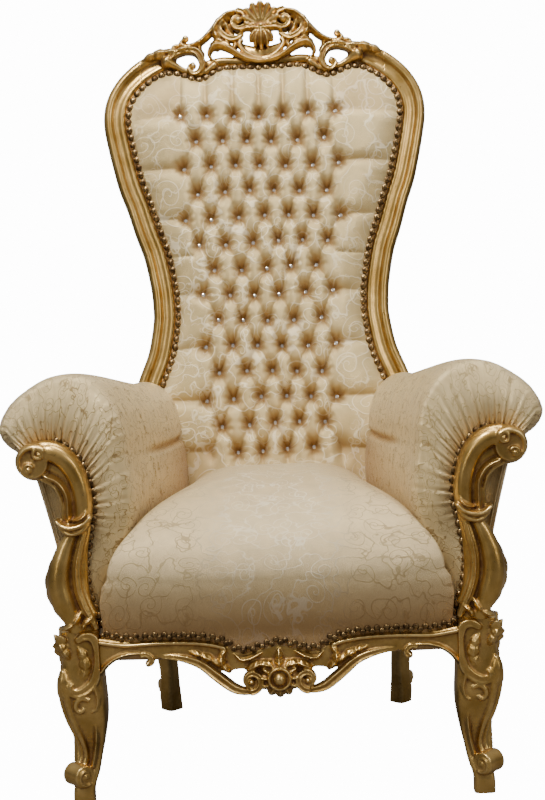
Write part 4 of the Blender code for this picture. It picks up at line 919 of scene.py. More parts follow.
scrolls = number(vine_group, "MULTIPLY", ranged(vine_group, phase, 0.09, 0.04), within)
field = noise(vine_group, bent, 17.0, 2.0, 0.4)
off_line = number(vine_group, "ABSOLUTE", number(vine_group, "SUBTRACT", field, 0.5))
tendrils = ranged(vine_group, off_line, 0.017, 0.008)
strewn = (("Vector", bent), ("Scale", 44.0))
leaves = node_in(vine_group, "ShaderNodeTexVoronoi", strewn, voronoi_dimensions="2D").outputs["Distance"]
off_rim = number(vine_group, "ABSOLUTE", number(vine_group, "SUBTRACT", leaves, 0.3))
leaf_rim = ranged(vine_group, off_rim, 0.065, 0.03)
near_line = ranged(vine_group, off_line, 0.075, 0.045)
leaf_marks = number(vine_group, "MULTIPLY", leaf_rim, near_line)
stems = number(vine_group, "MAXIMUM", scrolls, tendrils)
drawn = number(vine_group, "MAXIMUM", stems, number(vine_group, "MULTIPLY", leaf_marks, 0.5))
patch = noise(vine_group, given.outputs["Place"], 5.0)
presence = ranged(vine_group, patch, 0.3, 0.62, 0.45, 1.0)
shown = number(vine_group, "MULTIPLY", drawn, presence)
motif = number(vine_group, "MULTIPLY", shown, given.outputs["Strength"])
threads = (("Vector", cloth), ("Scale", 420.0))
warp_threads = node_in(vine_group, "ShaderNodeTexWave", threads, bands_direction="X").outputs["Fac"]
weft_threads = node_in(vine_group, "ShaderNodeTexWave", threads, bands_direction="Y").outputs["Fac"]
weave = number(vine_group, "MULTIPLY", warp_threads, weft_threads)
# painted shade and light: the cloth's colour follows the crumples that bump it, darker in their hollows and
# lighter on their tops
crumple = noise(vine_group, given.outputs["Place"], 38.0, 3.0)
shade = ranged(vine_group, crumple, 0.3, 0.75, 0.9, 1.06)
shade_pair = node_in(vine_group, "ShaderNodeCombineColor", ((0, shade), (1, shade), (2, shade))).outputs[0]
shaded = ((0, 1.0), (6, given.outputs["Ground"]), (7, shade_pair))
crumple_shaded_ground = node_in(vine_group, "ShaderNodeMix", shaded, data_type="RGBA", blend_type="MULTIPLY").outputs[2]
lined = blended(vine_group, motif, crumple_shaded_ground, given.outputs["Line"])
# painted shade: the cloth turns warm brown where the mesh's shade share is high
painted_hollow_shade = ranged(vine_group, given.outputs["Shade share"], 0.0, 1.0, 0.0, 0.85)
warm_shaded = blended(vine_group, painted_hollow_shade, lined, given.outputs["Warm shade"])
dull = number(vine_group, "MULTIPLY_ADD", crumple, 0.14, 0.26)
satin = number(vine_group, "MULTIPLY_ADD", motif, 0.22, dull)
relief_height = number(vine_group, "MULTIPLY_ADD", motif, 0.8, number(vine_group, "MULTIPLY", weave, 0.35))
relief_sum = number(vine_group, "MULTIPLY_ADD", crumple, 1.6, relief_height)
vine_group.links.new(warm_shaded, result.inputs["Colour"])
vine_group.links.new(satin, result.inputs["Roughness"])
vine_group.links.new(relief_sum, result.inputs["Height"])


def damask(name, ground, line, strength, scale=1.0, painted_sheen_middle=False):
    """Material of satin damask: its vine follows the cloth's own map, hollows get a warm painted shade, and a
    painted sheen can pale its lines down the middle.
    """
    paint, tree, shader = new_paint(name)
    woven = tree.nodes.new("ShaderNodeGroup")
    woven.node_tree = vine_group
    woven.inputs["Ground"].default_value = (*ground, 1.0)
    woven.inputs["Line"].default_value = (*line, 1.0)
    woven.inputs["Strength"].default_value = strength
    laid = node_in(tree, "ShaderNodeUVMap", uv_map="cloth").outputs["UV"]
    sized = node_in(tree, "ShaderNodeMapping", ((0, laid), (3, (scale, scale, scale)))).outputs[0]
    tree.links.new(sized, woven.inputs["Cloth"])
    where = own_place(tree)
    tree.links.new(where, woven.inputs["Place"])
    # painted sheen: the vine's lines turn pale in a band down the middle
    if painted_sheen_middle:
        across = node_in(tree, "ShaderNodeSeparateXYZ", ((0, where),)).outputs[0]
        off_middle = number(tree, "ABSOLUTE", across)
        share = ranged(tree, off_middle, 0.07, 0.16)
        tree.links.new(blended(tree, share, (0.97, 0.91, 0.76, 1.0), (*line, 1.0)), woven.inputs["Line"])
    tree.links.new(attribute(tree, "shade_share"), woven.inputs["Shade share"])
    folded = (("Height", woven.outputs["Height"]), ("Distance", 0.0016), ("Strength", 0.5))
    folds = node_in(tree, "ShaderNodeBump", folded)
    tree.links.new(woven.outputs["Colour"], shader.inputs["Base Color"])
    tree.links.new(woven.outputs["Roughness"], shader.inputs["Roughness"])
    tree.links.new(folds.outputs["Normal"], shader.inputs["Normal"])
    shader.inputs["Metallic"].default_value = 0.38
    shader.inputs["Sheen Weight"].default_value = 0.12
    shader.inputs["Sheen Roughness"].default_value = 0.35
    return paint


champagne = damask("champagne damask", (0.62, 0.48, 0.24), (0.93, 0.83, 0.60), 0.8)


def padded_piece(name, points, faces, cloth_map, shade_share, paint, place=None):
    """Upholstered piece from points in millimetres, with its map on the cloth and its share of warm painted
    shade.
    """
    mesh = bpy.data.meshes.new(name)
    mesh.from_pydata((points * MM).tolist(), [], faces)
    corners = np.empty(len(mesh.loops), int)
    mesh.loops.foreach_get("vertex_index", corners)
    laid = (cloth_map * MM)[corners].astype(np.float32).ravel()
    mesh.uv_layers.new(name="cloth").data.foreach_set("uv", laid)
    mesh.attributes.new("shade_share", "FLOAT", "POINT").data.foreach_set("value", shade_share.astype(np.float32))
    stock = bmesh.new()
    stock.from_mesh(mesh)
    bmesh.ops.recalc_face_normals(stock, faces=stock.faces[:])
    if stock.calc_volume(signed=True) < 0:
        bmesh.ops.reverse_faces(stock, faces=stock.faces[:])
    stock.to_mesh(mesh)
    stock.free()
    if place is not None:
        mesh.transform(place)
    piece = linked(name, mesh, paint)
    return piece


def edge_distance(x, z, outline):
    """Distance of each point to a closed outline, by its nearest straight piece."""
    nearest = np.full(x.shape, 1e9)
    for (ax, az), (bx, bz) in zip(outline, np.roll(outline, -1, 0)):
        dx = bx - ax
        dz = bz - az
        part = np.clip(((x - ax) * dx + (z - az) * dz) / (dx * dx + dz * dz + 1e-9), 0, 1)
        nearest = np.minimum(nearest, np.hypot(x - ax - part * dx, z - az - part * dz))
    return nearest


PAD_FOOT = -30.0
pad_side = pad_edge[pad_edge[:, 1] > PAD_FOOT]
pad_side = np.vstack([[(np.interp(PAD_FOOT, pad_edge[:40, 1], pad_edge[:40, 0]), PAD_FOOT)], pad_side])
pad_half = pad_side + sideways(pad_side) * 1.5
pad_half[-1, 0] = 0.0
pad_outline = np.vstack([pad_half, pad_half[::-1][1:] * (-1.0, 1.0)])[::2]


def on_pattern(x, z):
    """Place on the even pattern of buttons; the one drawn by hand leans to the left and strays a little."""
    lean = 13.0 * np.clip((z - 150) / 760, 0, 1)
    across = x + lean + 3.0 * np.sin(x / 41.0 + 1.3 * np.sin(z / 57.0))
    return across, z + 3.2 * np.sin(x / 49.0 + z / 67.0 + 0.8)


def pad_relief(x, z):
    """How far the padded back stands out, and its share of painted shade in the folds, the button pits and
    along its edge, at points of its plane.

    Its swell grows with the distance to the edge. Two families of slanting folds, through every
    button, cut it into diamonds, and short wrinkles ray out from each button; past the outer
    buttons the folds turn into straight pleats.
    """
    far_in = edge_distance(x, z, pad_outline)
    x, z = on_pattern(x, z)
    swell = 1 - np.exp(-((far_in / 34.0) ** 1.15))
    lower_side = 1 / (1 + np.exp((z - (TOP_ROW - 5.5 * BUTTON_DOWN)) / 12.0))
    side = 3 * BUTTON_ACROSS - 0.5 * BUTTON_ACROSS * lower_side
    down_rows = np.clip(z - TOP_ROW, -13 * BUTTON_DOWN, 0)
    across = np.clip(x, -side, side)
    s = across / BUTTON_ACROSS + down_rows / (2 * BUTTON_DOWN)
    t = across / BUTTON_ACROSS - down_rows / (2 * BUTTON_DOWN)
    pillow = (np.abs(np.sin(np.pi * s)) * np.abs(np.sin(np.pi * t))) ** 0.5
    button_x = (np.round(s) + np.round(t)) * BUTTON_ACROSS / 2
    button_z = TOP_ROW + (np.round(s) - np.round(t)) * BUTTON_DOWN
    row = np.round((TOP_ROW - button_z) / BUTTON_DOWN).astype(int)
    widest = (np.array(BUTTON_ROWS)[np.clip(row, 0, 13)] - 1) / 2 * BUTTON_ACROSS + 2
    real = (np.abs(button_x) < widest) * (row >= 0) * (row <= 13)
    apart = np.hypot(x - button_x, z - button_z)
    near = np.exp(-((apart / 13.0) ** 2)) * real
    around = np.exp(-((apart / 27.0) ** 2))
    chance = np.sin(button_x * 0.37 + button_z * 0.11) * 9.0
    bearing = np.arctan2(z - button_z, x - button_x)
    rays = np.cos(7 * bearing + chance) * np.exp(-(((apart - 15) / 9.0) ** 2)) * real
    outside = np.clip((np.abs(x) - side) / 30.0, 0, 1)
    above = np.clip((z - TOP_ROW) / 40.0, 0, 1)
    straight = np.maximum(outside, above)
    pleats = 0.55 * (1 - pillow) ** 3 + 0.10 * (1 - pillow)
    crease = (1 - pillow) * (0.30 + 0.70 * around) * (1 - straight) + straight * pleats
    waves = np.sin(z / 2.9 + 1.4 * np.sin(z / 23.0))
    gathered = waves * np.exp(-((far_in / 26.0) ** 1.3)) * (np.abs(x) > 190)
    filling = PAD_SWELL * swell * (1.0 - 0.52 * crease - 0.34 * near)
    out = PAD_FRONT + filling + (0.9 * gathered + 1.3 * rays) * swell
    # painted shade: darker in the creases, in the button pits and along the edge, a little lighter on the
    # wrinkles
    shade_share = np.clip(0.7 * crease**1.5 + 0.8 * near - 0.15 * rays, 0, 1) * swell
    return out, np.maximum(shade_share, np.exp(-((far_in / 12.0) ** 2)))


def coons(left, right_side, low, high):
    """Grid of (x, z) points stretched over four edges, its rows running from low to high."""
    u = np.linspace(0.0, 1.0, len(low))[None, :, None]
    v = np.linspace(0.0, 1.0, len(left))[:, None, None]
    across = (1 - u) * left[:, None] + u * right_side[:, None]
    upwards = (1 - v) * low[None] + v * high[None]
    corners = (1 - u) * ((1 - v) * low[0] + v * high[0]) + u * ((1 - v) * low[-1] + v * high[-1])
    return across + upwards - corners


def shell_faces(rows, columns):
    """Faces over a grid and round its edge to a second ring of points, shut by one flat face."""
    index = np.arange(rows * columns).reshape(rows, columns)
    rim = np.concatenate([index[0, :-1], index[:-1, -1], index[-1, :0:-1], index[:0:-1, 0]])
    behind = np.arange(len(rim)) + rows * columns
    sides = np.stack([rim, np.roll(rim, -1), np.roll(behind, -1), behind], -1)
    return grid_faces(rows, columns).tolist() + sides.tolist() + [behind.tolist()], rim


PAD_ROWS = 390
PAD_COLUMNS = 240
shoulder = np.argmin(np.abs(pad_half[:, 1] - 972) + 100 * (pad_half[:, 0] < 285))
right_side = even(pad_half[: shoulder + 1], PAD_ROWS)
upper = np.vstack([pad_half[shoulder:], pad_half[shoulder:][::-1][1:] * (-1.0, 1.0)])[::-1]
high_edge = even(upper, PAD_COLUMNS)
low_x = np.linspace(-pad_half[0, 0], pad_half[0, 0], PAD_COLUMNS)
low_edge = np.column_stack([low_x, np.full(PAD_COLUMNS, PAD_FOOT)])
pad_grid = coons(right_side * (-1.0, 1.0), right_side, low_edge, high_edge).reshape(-1, 2)
out, shade_share = pad_relief(pad_grid[:, 0], pad_grid[:, 1])
pad_points = np.column_stack([pad_grid[:, 0], -out, pad_grid[:, 1]])
pad_faces, rim = shell_faces(PAD_ROWS, PAD_COLUMNS)
behind = pad_points[rim] * (1, 0, 1) + (0, 28.0, 0)
pad_map = np.vstack([pad_grid, pad_grid[rim]])
pad_shade = np.concatenate([shade_share, np.zeros(len(rim))])
pad_points = np.vstack([pad_points, behind])
back_pad = padded_piece(
    "buttoned_back", pad_points, pad_faces, pad_map, pad_shade, champagne, IN_BACK
)
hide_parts("back_pad")

# Rear cover: one plain panel of the same damask, slightly crowned, over the back of the padding.
COVER_ROWS = 90
COVER_COLUMNS = 60
cover_half = pad_edge + sideways(pad_edge) * 14.0
cover_half = cover_half[cover_half[:, 1] > -95]
cover_half[-1, 0] = 0.0
shoulder = np.argmin(np.abs(cover_half[:, 1] - 984) + 100 * (cover_half[:, 0] < 285))
cover_side = even(cover_half[: shoulder + 1], COVER_ROWS)
upper = np.vstack([cover_half[shoulder:], cover_half[shoulder:][::-1][1:] * (-1.0, 1.0)])[::-1]
low_x = np.linspace(-1, 1, COVER_COLUMNS) * cover_half[0, 0]
low_edge = np.column_stack([low_x, np.full(COVER_COLUMNS, cover_half[0, 1])])
cover_grid = coons(cover_side * (-1.0, 1.0), cover_side, low_edge, even(upper, COVER_COLUMNS)).reshape(-1, 2)
cover_outline = np.vstack([cover_half, cover_half[::-1][1:] * (-1.0, 1.0)])[::3]
from_edge = edge_distance(cover_grid[:, 0], cover_grid[:, 1], cover_outline)
bulge = 38.3 - 6.0 * np.exp(-from_edge / 3.0) + 12.0 * (1 - np.exp(-from_edge / 60.0))
cover_points = np.column_stack([cover_grid[:, 0], bulge, cover_grid[:, 1]])
cover_faces, rim = shell_faces(COVER_ROWS, COVER_COLUMNS)
inner = cover_points[rim] * (1, 0, 1) + (0, 30.3, 0)
cover_map = np.vstack([cover_grid, cover_grid[rim]])
plain_damask = damask("rear damask", (0.66, 0.52, 0.31), (0.46, 0.34, 0.18), 0.5)
cover_points = np.vstack([cover_points, inner])
flat = np.zeros(len(cover_map))
cover = padded_piece(
    "rear_cover", cover_points, cover_faces, cover_map, flat, plain_damask, IN_BACK
)
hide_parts("back_cover")

# Padded arms: hair rolls over a beech frame in satin damask, gathered in radiating pleats round their
# fronts against the carved posts, with the sides run down into the seat.
ARM_SECTION_FRONT = (
    (400, 345), (400, 460), (444, 652), (458, 665), (484, 683), (510, 705), (520, 735), (500, 775),
    (465, 805), (420, 828), (370, 832), (325, 812), (292, 770), (276, 720), (272, 670), (264, 610),
    (268, 550), (292, 480), (325, 420), (338, 345),
)
# The same section where it meets the leaning back
ARM_SECTION_REAR = (
    (300, 345), (302, 460), (322, 610), (327, 622), (340, 635), (355, 655), (360, 685), (350, 720),
    (330, 745), (305, 757), (275, 757), (245, 742), (222, 715), (210, 680), (205, 645), (198, 600),
    (195, 550), (198, 480), (200, 420), (205, 345),
)
# The line round the carved post that each point of the front section is gathered to
ARM_BOW = (
    (392, 345), (396, 460), (440, 655), (446, 664), (452, 672), (455, 680), (454, 688), (448, 696),
    (436, 702), (418, 704), (398, 698), (380, 684), (367, 668), (357, 648), (349, 625), (345, 595),
    (346, 560), (356, 510), (366, 450), (341, 345),
)
ARM_STEPS = 18
arm_fore = smooth(ARM_SECTION_FRONT, ARM_STEPS)
arm_rear = smooth(ARM_SECTION_REAR, ARM_STEPS)
arm_bow = smooth(ARM_BOW, ARM_STEPS)


def leaning_y(z, depth):
    """Depth, in millimetres, of the point of the back at height z and this far behind its plane."""
    along = (z - BACK_Z / MM + depth * math.sin(BACK_LEAN)) / math.cos(BACK_LEAN)
    return BACK_Y / MM + depth * math.cos(BACK_LEAN) + along * math.sin(BACK_LEAN)


def eased(part):
    """Share of the way from the front section to the rear one, slow at both ends."""
    return part * part * (3 - 2 * part)


def arm_surface(part):
    """Rings (part, point, 3) of the arm at shares of its way back: its two sections blended."""
    part = np.asarray(part, float)[:, None]
    blend = eased(part)
    x = (1 - blend) * arm_fore[None, :, 0] + blend * arm_rear[None, :, 0]
    z = (1 - blend) * arm_fore[None, :, 1] + blend * arm_rear[None, :, 1]
    y = 0.5 + (leaning_y(arm_rear[:, 1], -13.5) - 0.5)[None, :] * part
    return np.stack([x, y, z], -1)


ARM_ROWS = 110
section_count = len(arm_fore)
arm_run = np.concatenate([[0.0], np.cumsum(np.linalg.norm(np.diff(arm_fore, axis=0), axis=1))])
past_panel = arm_run - arm_run[2 * ARM_STEPS]
on_roll = np.clip(past_panel / 60, 0, 1) * np.clip((arm_run[17 * ARM_STEPS] - arm_run) / 90, 0, 1)
stations = np.concatenate([np.linspace(0, 0.16, 44), np.linspace(0.16, 1.0, ARM_ROWS - 43)[1:]])
body = arm_surface(stations)
inward = -sideways(arm_fore)
from_front = body[:, :, 1] - 0.5
on_side = np.clip(past_panel / 30, 0, 1)[None, :]
tucked = 20.0 * on_side * (1 - np.sqrt(np.clip(1 - (1 - np.clip(from_front / 42.0, 0, 1)) ** 2, 0, 1)))
pleat_phase = 2 * np.pi * arm_run / 24.0 + 1.5 * np.sin(arm_run / 31.0) + 0.9 * np.sin(arm_run / 83.0)
pleat = 0.62 * np.sin(pleat_phase) + 0.42 * np.sin(1.63 * pleat_phase + 1.0)
fade = np.exp(-((from_front / 24.0) ** 1.3))
ripple = 0.9 * pleat[None, :] * fade * on_roll[None, :]
depth_in = tucked - ripple
from_crease = (arm_run - arm_run[int(14.2 * ARM_STEPS)]) / 9.0
on_crease = np.exp(-(from_crease**2))[None, :] * np.clip((stations - 0.3) / 0.25, 0, 1)[:, None]
depth_in += 9.0 * on_crease
body[:, :, 0] += inward[None, :, 0] * depth_in
body[:, :, 2] += inward[None, :, 1] * depth_in
body[:, 0, 2] = 345.5
body[:, -1, 2] = 345.5
front_line = body[0][:, [0, 2]]
gather = np.linspace(0.0, 1.0, 16)[1:, None]
cap_x = front_line[None, :, 0] * (1 - gather) + arm_bow[None, :, 0] * gather
cap_z = front_line[None, :, 1] * (1 - gather) + arm_bow[None, :, 1] * gather
cap_dome = 14.0 * np.sin(np.pi * gather) ** 0.8 * (0.3 + 0.7 * on_roll)
cap_y = 0.5 - cap_dome - 3.8 * pleat[None, :] * gather**2 * on_roll
cap = np.stack([cap_x, cap_y, cap_z], -1)[::-1]
arm_rings = np.vstack([cap, body])
arm_faces = grid_faces(len(arm_rings), section_count, closed=True).tolist()
arm_faces.append(list(range(section_count))[::-1])
arm_faces.append(list(range((len(arm_rings) - 1) * section_count, len(arm_rings) * section_count)))
arm_points = arm_rings.reshape(-1, 3)
cloth_v = np.broadcast_to(arm_run, (len(arm_rings), section_count)).ravel()
drawn_in = np.repeat(gather[::-1, 0] * 60, section_count)
cloth_u = arm_points[:, 1] - np.concatenate([drawn_in, np.zeros(body[:, :, 0].size)])
# painted shade: the inner side darkens to warm brown towards the back, in the pleats round the post and along
# the inner crease
inner_side = np.clip((arm_run - arm_run[13 * ARM_STEPS]) / 120, 0, 1)
inner_arm_shade = inner_side[None, :] * np.clip((np.concatenate([np.zeros(15), stations]) - 0.35) / 0.5, 0, 1)[:, None]
cap_shade = (np.clip(0.2 - pleat, 0, 1)[None, :] * 0.45 * gather**1.2 + 0.8 * gather**9) * on_roll[None, :]
crease = np.concatenate([cap_shade[::-1], np.clip(-pleat, 0, 1)[None, :] * fade * on_roll[None, :] * 0.15])
arm_damask = damask("arm damask", (0.72, 0.57, 0.31), (0.28, 0.18, 0.07), 0.85, scale=2.1)
crease_shade = np.vstack([np.zeros((15, section_count)), 0.7 * on_crease])
arm_shade = np.clip(0.8 * inner_arm_shade + crease + crease_shade, 0, 1).ravel()
arm_map = np.column_stack([cloth_u, cloth_v])
arm_pad = padded_piece(
    "rolled_arm_right", arm_points, arm_faces, arm_map, arm_shade, arm_damask, IN_THRONE
)
arm_pad_left = twin("rolled_arm_left", arm_pad)
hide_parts("arm_pad_right")
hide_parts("arm_pad_left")

# Outer panels of the arms: flat damask over webbing, from the roll down to the side rail.
panel_inner = arm_surface(np.linspace(0.0, 1.0, 80))[:, : 2 * ARM_STEPS + 1] + (0.2, 0, 0)
panel_inner[:, 0, 2] = 345.5
panel_outer = panel_inner[:, ::-1] + (7.5, 0, 0)
panel_rings = np.concatenate([panel_inner, panel_outer], axis=1)
panel_points, panel_faces = tube(panel_rings)
panel_map = panel_points[:, [1, 2]]
flat = np.zeros(len(panel_points))
outer_panel = padded_piece(
    "outer_panel_right", panel_points, panel_faces, panel_map, flat, plain_damask, IN_THRONE
)
outer_panel_left = twin("outer_panel_left", outer_panel)
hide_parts("outside_arm_right")
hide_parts("outside_arm_left")

# Seat: a deep sprung seat under taut damask, crowned in the middle, bulging over the front rail and
# nailed along its scalloped top.
SEAT_LEVELS = ((12, 334, 333), (10, 288, 337), (-25, 288, 345), (-33, 330, 365), (-46, 370, 400),
               (-57, 415, 450), (-60, 445, 500))
SEAT_FRONT_HALF = ((333, 300), (333, 357), (336, 398), (330, 430), (306, 465), (284, 500), (257, 550))
SEAT_BACK_Y = 490.0
FRONT_COUNT = 161
REAR_COUNT = 31
inner_fore = arm_fore[::-1][: 6 * ARM_STEPS]
inner_rear = arm_rear[::-1][: 6 * ARM_STEPS]
side_parts = np.linspace(0.045, 1.0, 60)


def seat_side(z):
    """Right side of the seat against the arm at height z, from its front to the rear rail."""
    depth = leaning_y(z, -13.5) - 0.5
    parts = 0.045 + (SEAT_BACK_Y / depth - 0.045) * (side_parts - 0.045) / 0.955
    blend = eased(parts)
    fore = np.interp(z, inner_fore[:, 1], inner_fore[:, 0])
    rear = np.interp(z, inner_rear[:, 1], inner_rear[:, 0])
    x = fore + (rear - fore) * blend - 0.5
    return np.column_stack([x, 0.5 + depth * parts, np.full(len(parts), z)])


def seat_ring(front_y, front_z, side_z):
    """Closed line round the seat: its front from left to right, its right side, rear and left side."""
    half = np.interp(front_z, [z for x, z in SEAT_FRONT_HALF], [x for x, z in SEAT_FRONT_HALF])
    across = np.linspace(-1.0, 1.0, FRONT_COUNT)
    y = front_y * (1 - 0.45 * np.abs(across) ** 6)
    front = np.column_stack([half * across, y, np.full(FRONT_COUNT, front_z)])
    right_run = seat_side(side_z)
    rear_x = np.linspace(right_run[-1, 0], -right_run[-1, 0], REAR_COUNT)[1:-1]
    rear = np.column_stack([rear_x, np.full(REAR_COUNT - 2, SEAT_BACK_Y), np.full(REAR_COUNT - 2, side_z)])
    return np.vstack([front, right_run, rear, right_run[::-1] * (-1.0, 1.0, 1.0)])


seat_rings = [seat_ring(*level) for level in smooth(SEAT_LEVELS, 9)]
top_edge = seat_rings[-1]
seat_middle = np.array((0.0, 250.0, 607.0))
for turn in np.linspace(0.0, np.pi / 2, 46)[1:]:
    ring = seat_middle + (top_edge - seat_middle) * max(math.cos(turn), 0.01)
    ring[:, 2] = top_edge[:, 2] + (607.0 - top_edge[:, 2]) * math.sin(turn)
    seat_rings.append(ring)
seat_points, seat_faces = tube(np.stack(seat_rings))
over_rail = seat_points[:, 2] - np.interp(np.abs(seat_points[:, 0]), rail_wave[:, 0], rail_wave[:, 1])
limit = -26.0 - 1.9 * np.clip(over_rail, 0, 40)
seat_points[:, 1] = np.where(seat_points[:, 1] < 0, np.maximum(seat_points[:, 1], limit), seat_points[:, 1])
gathers = np.sin(seat_points[:, 0] / 5.2 + 1.3 * np.sin(seat_points[:, 2] / 31.0))
near_rail = np.exp(-np.clip(over_rail, 0, 400) / 26.0) * np.clip(over_rail / 6, 0, 1)
near_post = np.exp(-((337 - np.abs(seat_points[:, 0])) / 34.0) ** 2) * (seat_points[:, 2] < 470)
seat_points[:, 1] += np.where(seat_points[:, 1] < 10, 1.0 * gathers * near_rail * (0.3 + near_post), 0)
seat_map = np.column_stack([seat_points[:, 0], seat_points[:, 1] + seat_points[:, 2]])
# painted shade: the seat darkens towards the back, beside the arms and low on its front where it turns under
shade_towards_back = np.clip((seat_points[:, 1] - 330) / 140, 0, 1) * 0.5
towards_arm = np.clip((np.abs(seat_points[:, 0]) - 165) / 60, 0, 1)
shade_beside_arm = towards_arm * np.clip((seat_points[:, 1] - 60) / 120, 0, 1) * 0.45
shade_low_front = np.clip((455 - seat_points[:, 2]) / 110, 0, 1) * (seat_points[:, 1] < 0) * 0.92
seat_shade = np.maximum.reduce([shade_towards_back, shade_beside_arm, shade_low_front])
seat_damask = damask(
    "seat damask", (0.72, 0.57, 0.33), (0.30, 0.21, 0.10), 0.65, scale=1.25, painted_sheen_middle=True
)
seat = padded_piece(
    "sprung_seat", seat_points, seat_faces, seat_map, seat_shade, seat_damask, IN_THRONE
)
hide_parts("seat_cushion")

# Nails: domed heads of antique brass, close set, that hold the damask along the back, the arms and the
# front rail; each is a shallow dome with a thin flange.
brass, tree, shader = new_paint("antique brass")
tarnish = noise(tree, own_place(tree), 95.0, 3.0)
bronze = blended(tree, ranged(tree, tarnish, 0.35, 0.65), (0.07, 0.038, 0.016, 1.0), (0.30, 0.20, 0.09, 1.0))
tree.links.new(bronze, shader.inputs["Base Color"])
tree.links.new(ranged(tree, tarnish, 0.3, 0.7, 0.45, 0.22), shader.inputs["Roughness"])
shader.inputs["Metallic"].default_value = 0.9


def turned_heads(name, places, facing, profile, sides, paint, flat=False):
    """Small turned heads in one mesh: a profile of (radius, height) spun about each facing direction."""
    profile = np.array(profile, float)
    around = np.linspace(0.0, 2 * np.pi, sides, endpoint=False)
    side = np.cross(facing, (0.0, 0.0, 1.0))
    side /= np.linalg.norm(side, axis=1)[:, None]
    upward = np.cross(side, facing)
    circle = np.cos(around)[None, :, None] * side[:, None] + np.sin(around)[None, :, None] * upward[:, None]
    rings = [places[:, None] + circle * radius + facing[:, None] * height for radius, height in profile]
    points = np.stack(rings, 1).reshape(-1, 3)
    faces = grid_faces(len(profile), sides, closed=True).tolist() + [list(range(sides))[::-1]]
    faces.append(list(range((len(profile) - 1) * sides, len(profile) * sides)))
    every = [[i + head * len(profile) * sides for i in face] for head in range(len(places)) for face in faces]
    mesh = bpy.data.meshes.new(name)
    mesh.from_pydata((points * MM).tolist(), [], every)
    stock = bmesh.new()
    stock.from_mesh(mesh)
    bmesh.ops.recalc_face_normals(stock, faces=stock.faces[:])
    stock.to_mesh(mesh)
    stock.free()
    piece = linked(name, mesh, paint)
    if flat:
        mesh.polygons.foreach_set("use_smooth", np.zeros(len(mesh.polygons), bool))
    return piece


NAIL = ((8.0, -1.0), (8.6, 0.4), (7.6, 2.9), (5.2, 5.0), (1.8, 6.0))
SMALL_NAIL = ((5.9, -1.0), (6.4, 0.4), (5.6, 2.2), (3.8, 3.7), (1.3, 4.4))
NAIL_PITCH = 17.6


def spaced(path, pitch):
    """Points along a path at about that pitch."""
    length = np.linalg.norm(np.diff(path[:, :2], axis=0), axis=1).sum()
    return even(path, max(2, int(round(length / pitch)) + 1))


def moved_to(matrix, points):
    """Points in millimetres taken through a matrix in metres."""
    matrix = np.array(matrix)
    return points @ matrix[:3, :3].T + matrix[:3, 3] / MM


nail_line = pad_edge - sideways(pad_edge) * 7.0
nail_line = nail_line[nail_line[:, 1] > 60]
nail_line[-1, 0] = 0.0
nail_run = spaced(np.vstack([nail_line, nail_line[::-1][1:] * (-1.0, 1.0)]), NAIL_PITCH)
lift = pad_relief(nail_run[:, 0], nail_run[:, 1])[0]
back_nails = moved_to(IN_BACK, np.column_stack([nail_run[:, 0], -lift - 0.4, nail_run[:, 1]]))
back_facing = np.repeat([np.array(IN_BACK)[:3, :3] @ (0.0, -1.0, 0.0)], len(back_nails), 0)
POST_LINE = (
    (406, 709), (390, 700), (371, 681), (355, 655), (342, 615), (340, 588), (344, 562), (350, 540),
    (357, 500),
    (363, 468), (361, 430), (355, 400), (347, 377), (338, 354),
)
post_run = spaced(smooth(POST_LINE, 8), NAIL_PITCH)
post_depth = np.full(len(post_run), -3.5)
post_nails = moved_to(IN_THRONE, np.column_stack([post_run[:, 0] - 2.0, post_depth, post_run[:, 1]]))
post_facing = np.repeat([(0.0, -1.0, 0.0)], len(post_nails), 0)
rail_line = np.vstack([rail_wave[::-1] * (-1.0, 1.0), rail_wave[1:]]) + (0, 7.5)
rail_run = spaced(rail_line[np.abs(rail_line[:, 0]) < 334], 9.2)
rail_run[:, 1] += np.where(np.arange(len(rail_run)) % 2, 3.4, -3.4)
levels = smooth(SEAT_LEVELS, 9)[18:]
rail_depth = np.interp(rail_run[:, 1], levels[:, 1], levels[:, 0])
rail_depth *= 1 - 0.45 * np.abs(rail_run[:, 0] / 333) ** 6
rail_nails = moved_to(IN_THRONE, np.column_stack([rail_run[:, 0], rail_depth - 0.5, rail_run[:, 1]]))
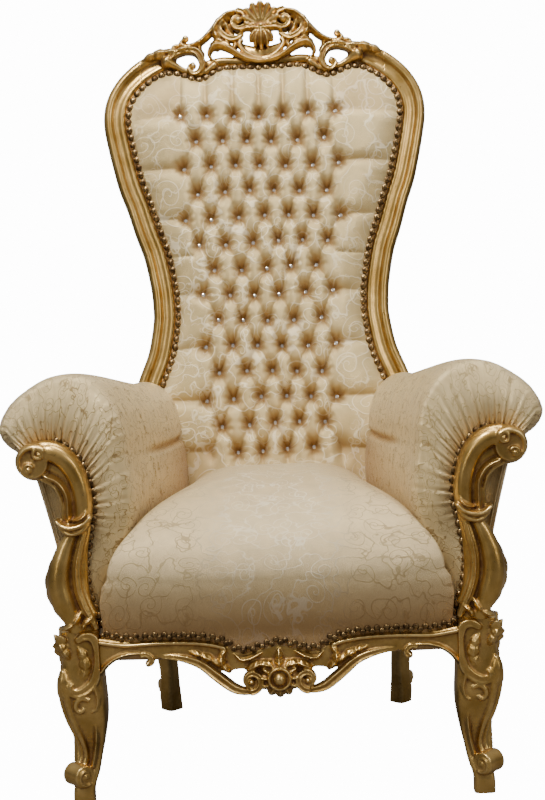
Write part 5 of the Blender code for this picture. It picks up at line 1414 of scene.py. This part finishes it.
rail_facing = np.repeat([(0.0, -0.88, -0.47)], len(rail_nails), 0)
all_nails = np.vstack([back_nails, post_nails, post_nails * (-1.0, 1.0, 1.0)])
all_facing = np.vstack([back_facing, post_facing, post_facing])
nails = turned_heads("brass_nails", all_nails, all_facing, NAIL, 14, brass)
small_nails = turned_heads("rail_nails", rail_nails, rail_facing, SMALL_NAIL, 12, brass)

# Buttons: cut crystals in thin silvered cups, one at each crossing of the folds of the back.
crystal = bpy.data.materials.new("cut crystal")
crystal.use_nodes = True
tree = crystal.node_tree
shader = tree.nodes["Principled BSDF"]
where = node_in(tree, "ShaderNodeTexCoord").outputs["Object"]
sparkle = node_in(tree, "ShaderNodeTexNoise", (("Vector", where), ("Scale", 400.0))).outputs[0]
ice = blended(tree, ranged(tree, sparkle, 0.4, 0.6), (0.72, 0.70, 0.68, 1.0), (1.0, 1.0, 1.0, 1.0))
tree.links.new(ice, shader.inputs["Base Color"])
tree.links.new(ranged(tree, sparkle, 0.3, 0.7, 0.03, 0.10), shader.inputs["Roughness"])
shader.inputs["Metallic"].default_value = 0.55
shader.inputs["IOR"].default_value = 1.9
shader.inputs["Coat Weight"].default_value = 1.0
CRYSTAL = ((4.6, -2.5), (5.8, 0.4), (5.7, 1.6), (3.8, 3.8), (2.4, 4.2))
button_places = []
for row, count in enumerate(BUTTON_ROWS):
    across = (np.arange(count) - (count - 1) / 2) * BUTTON_ACROSS
    button_places.append(np.column_stack([across, np.full(count, TOP_ROW - row * BUTTON_DOWN)]))
button_pattern = np.vstack(button_places)
button_places = button_pattern
for _ in range(12):
    button_places = button_places + button_pattern - np.column_stack(on_pattern(*button_places.T))
lift = pad_relief(button_places[:, 0], button_places[:, 1])[0]
button_points = moved_to(IN_BACK, np.column_stack([button_places[:, 0], -lift - 2.0, button_places[:, 1]]))
button_facing = np.repeat([np.array(IN_BACK)[:3, :3] @ (0.0, -1.0, 0.0)], len(button_points), 0)
buttons = turned_heads("crystal_buttons", button_points, button_facing, CRYSTAL, 8, crystal, flat=True)
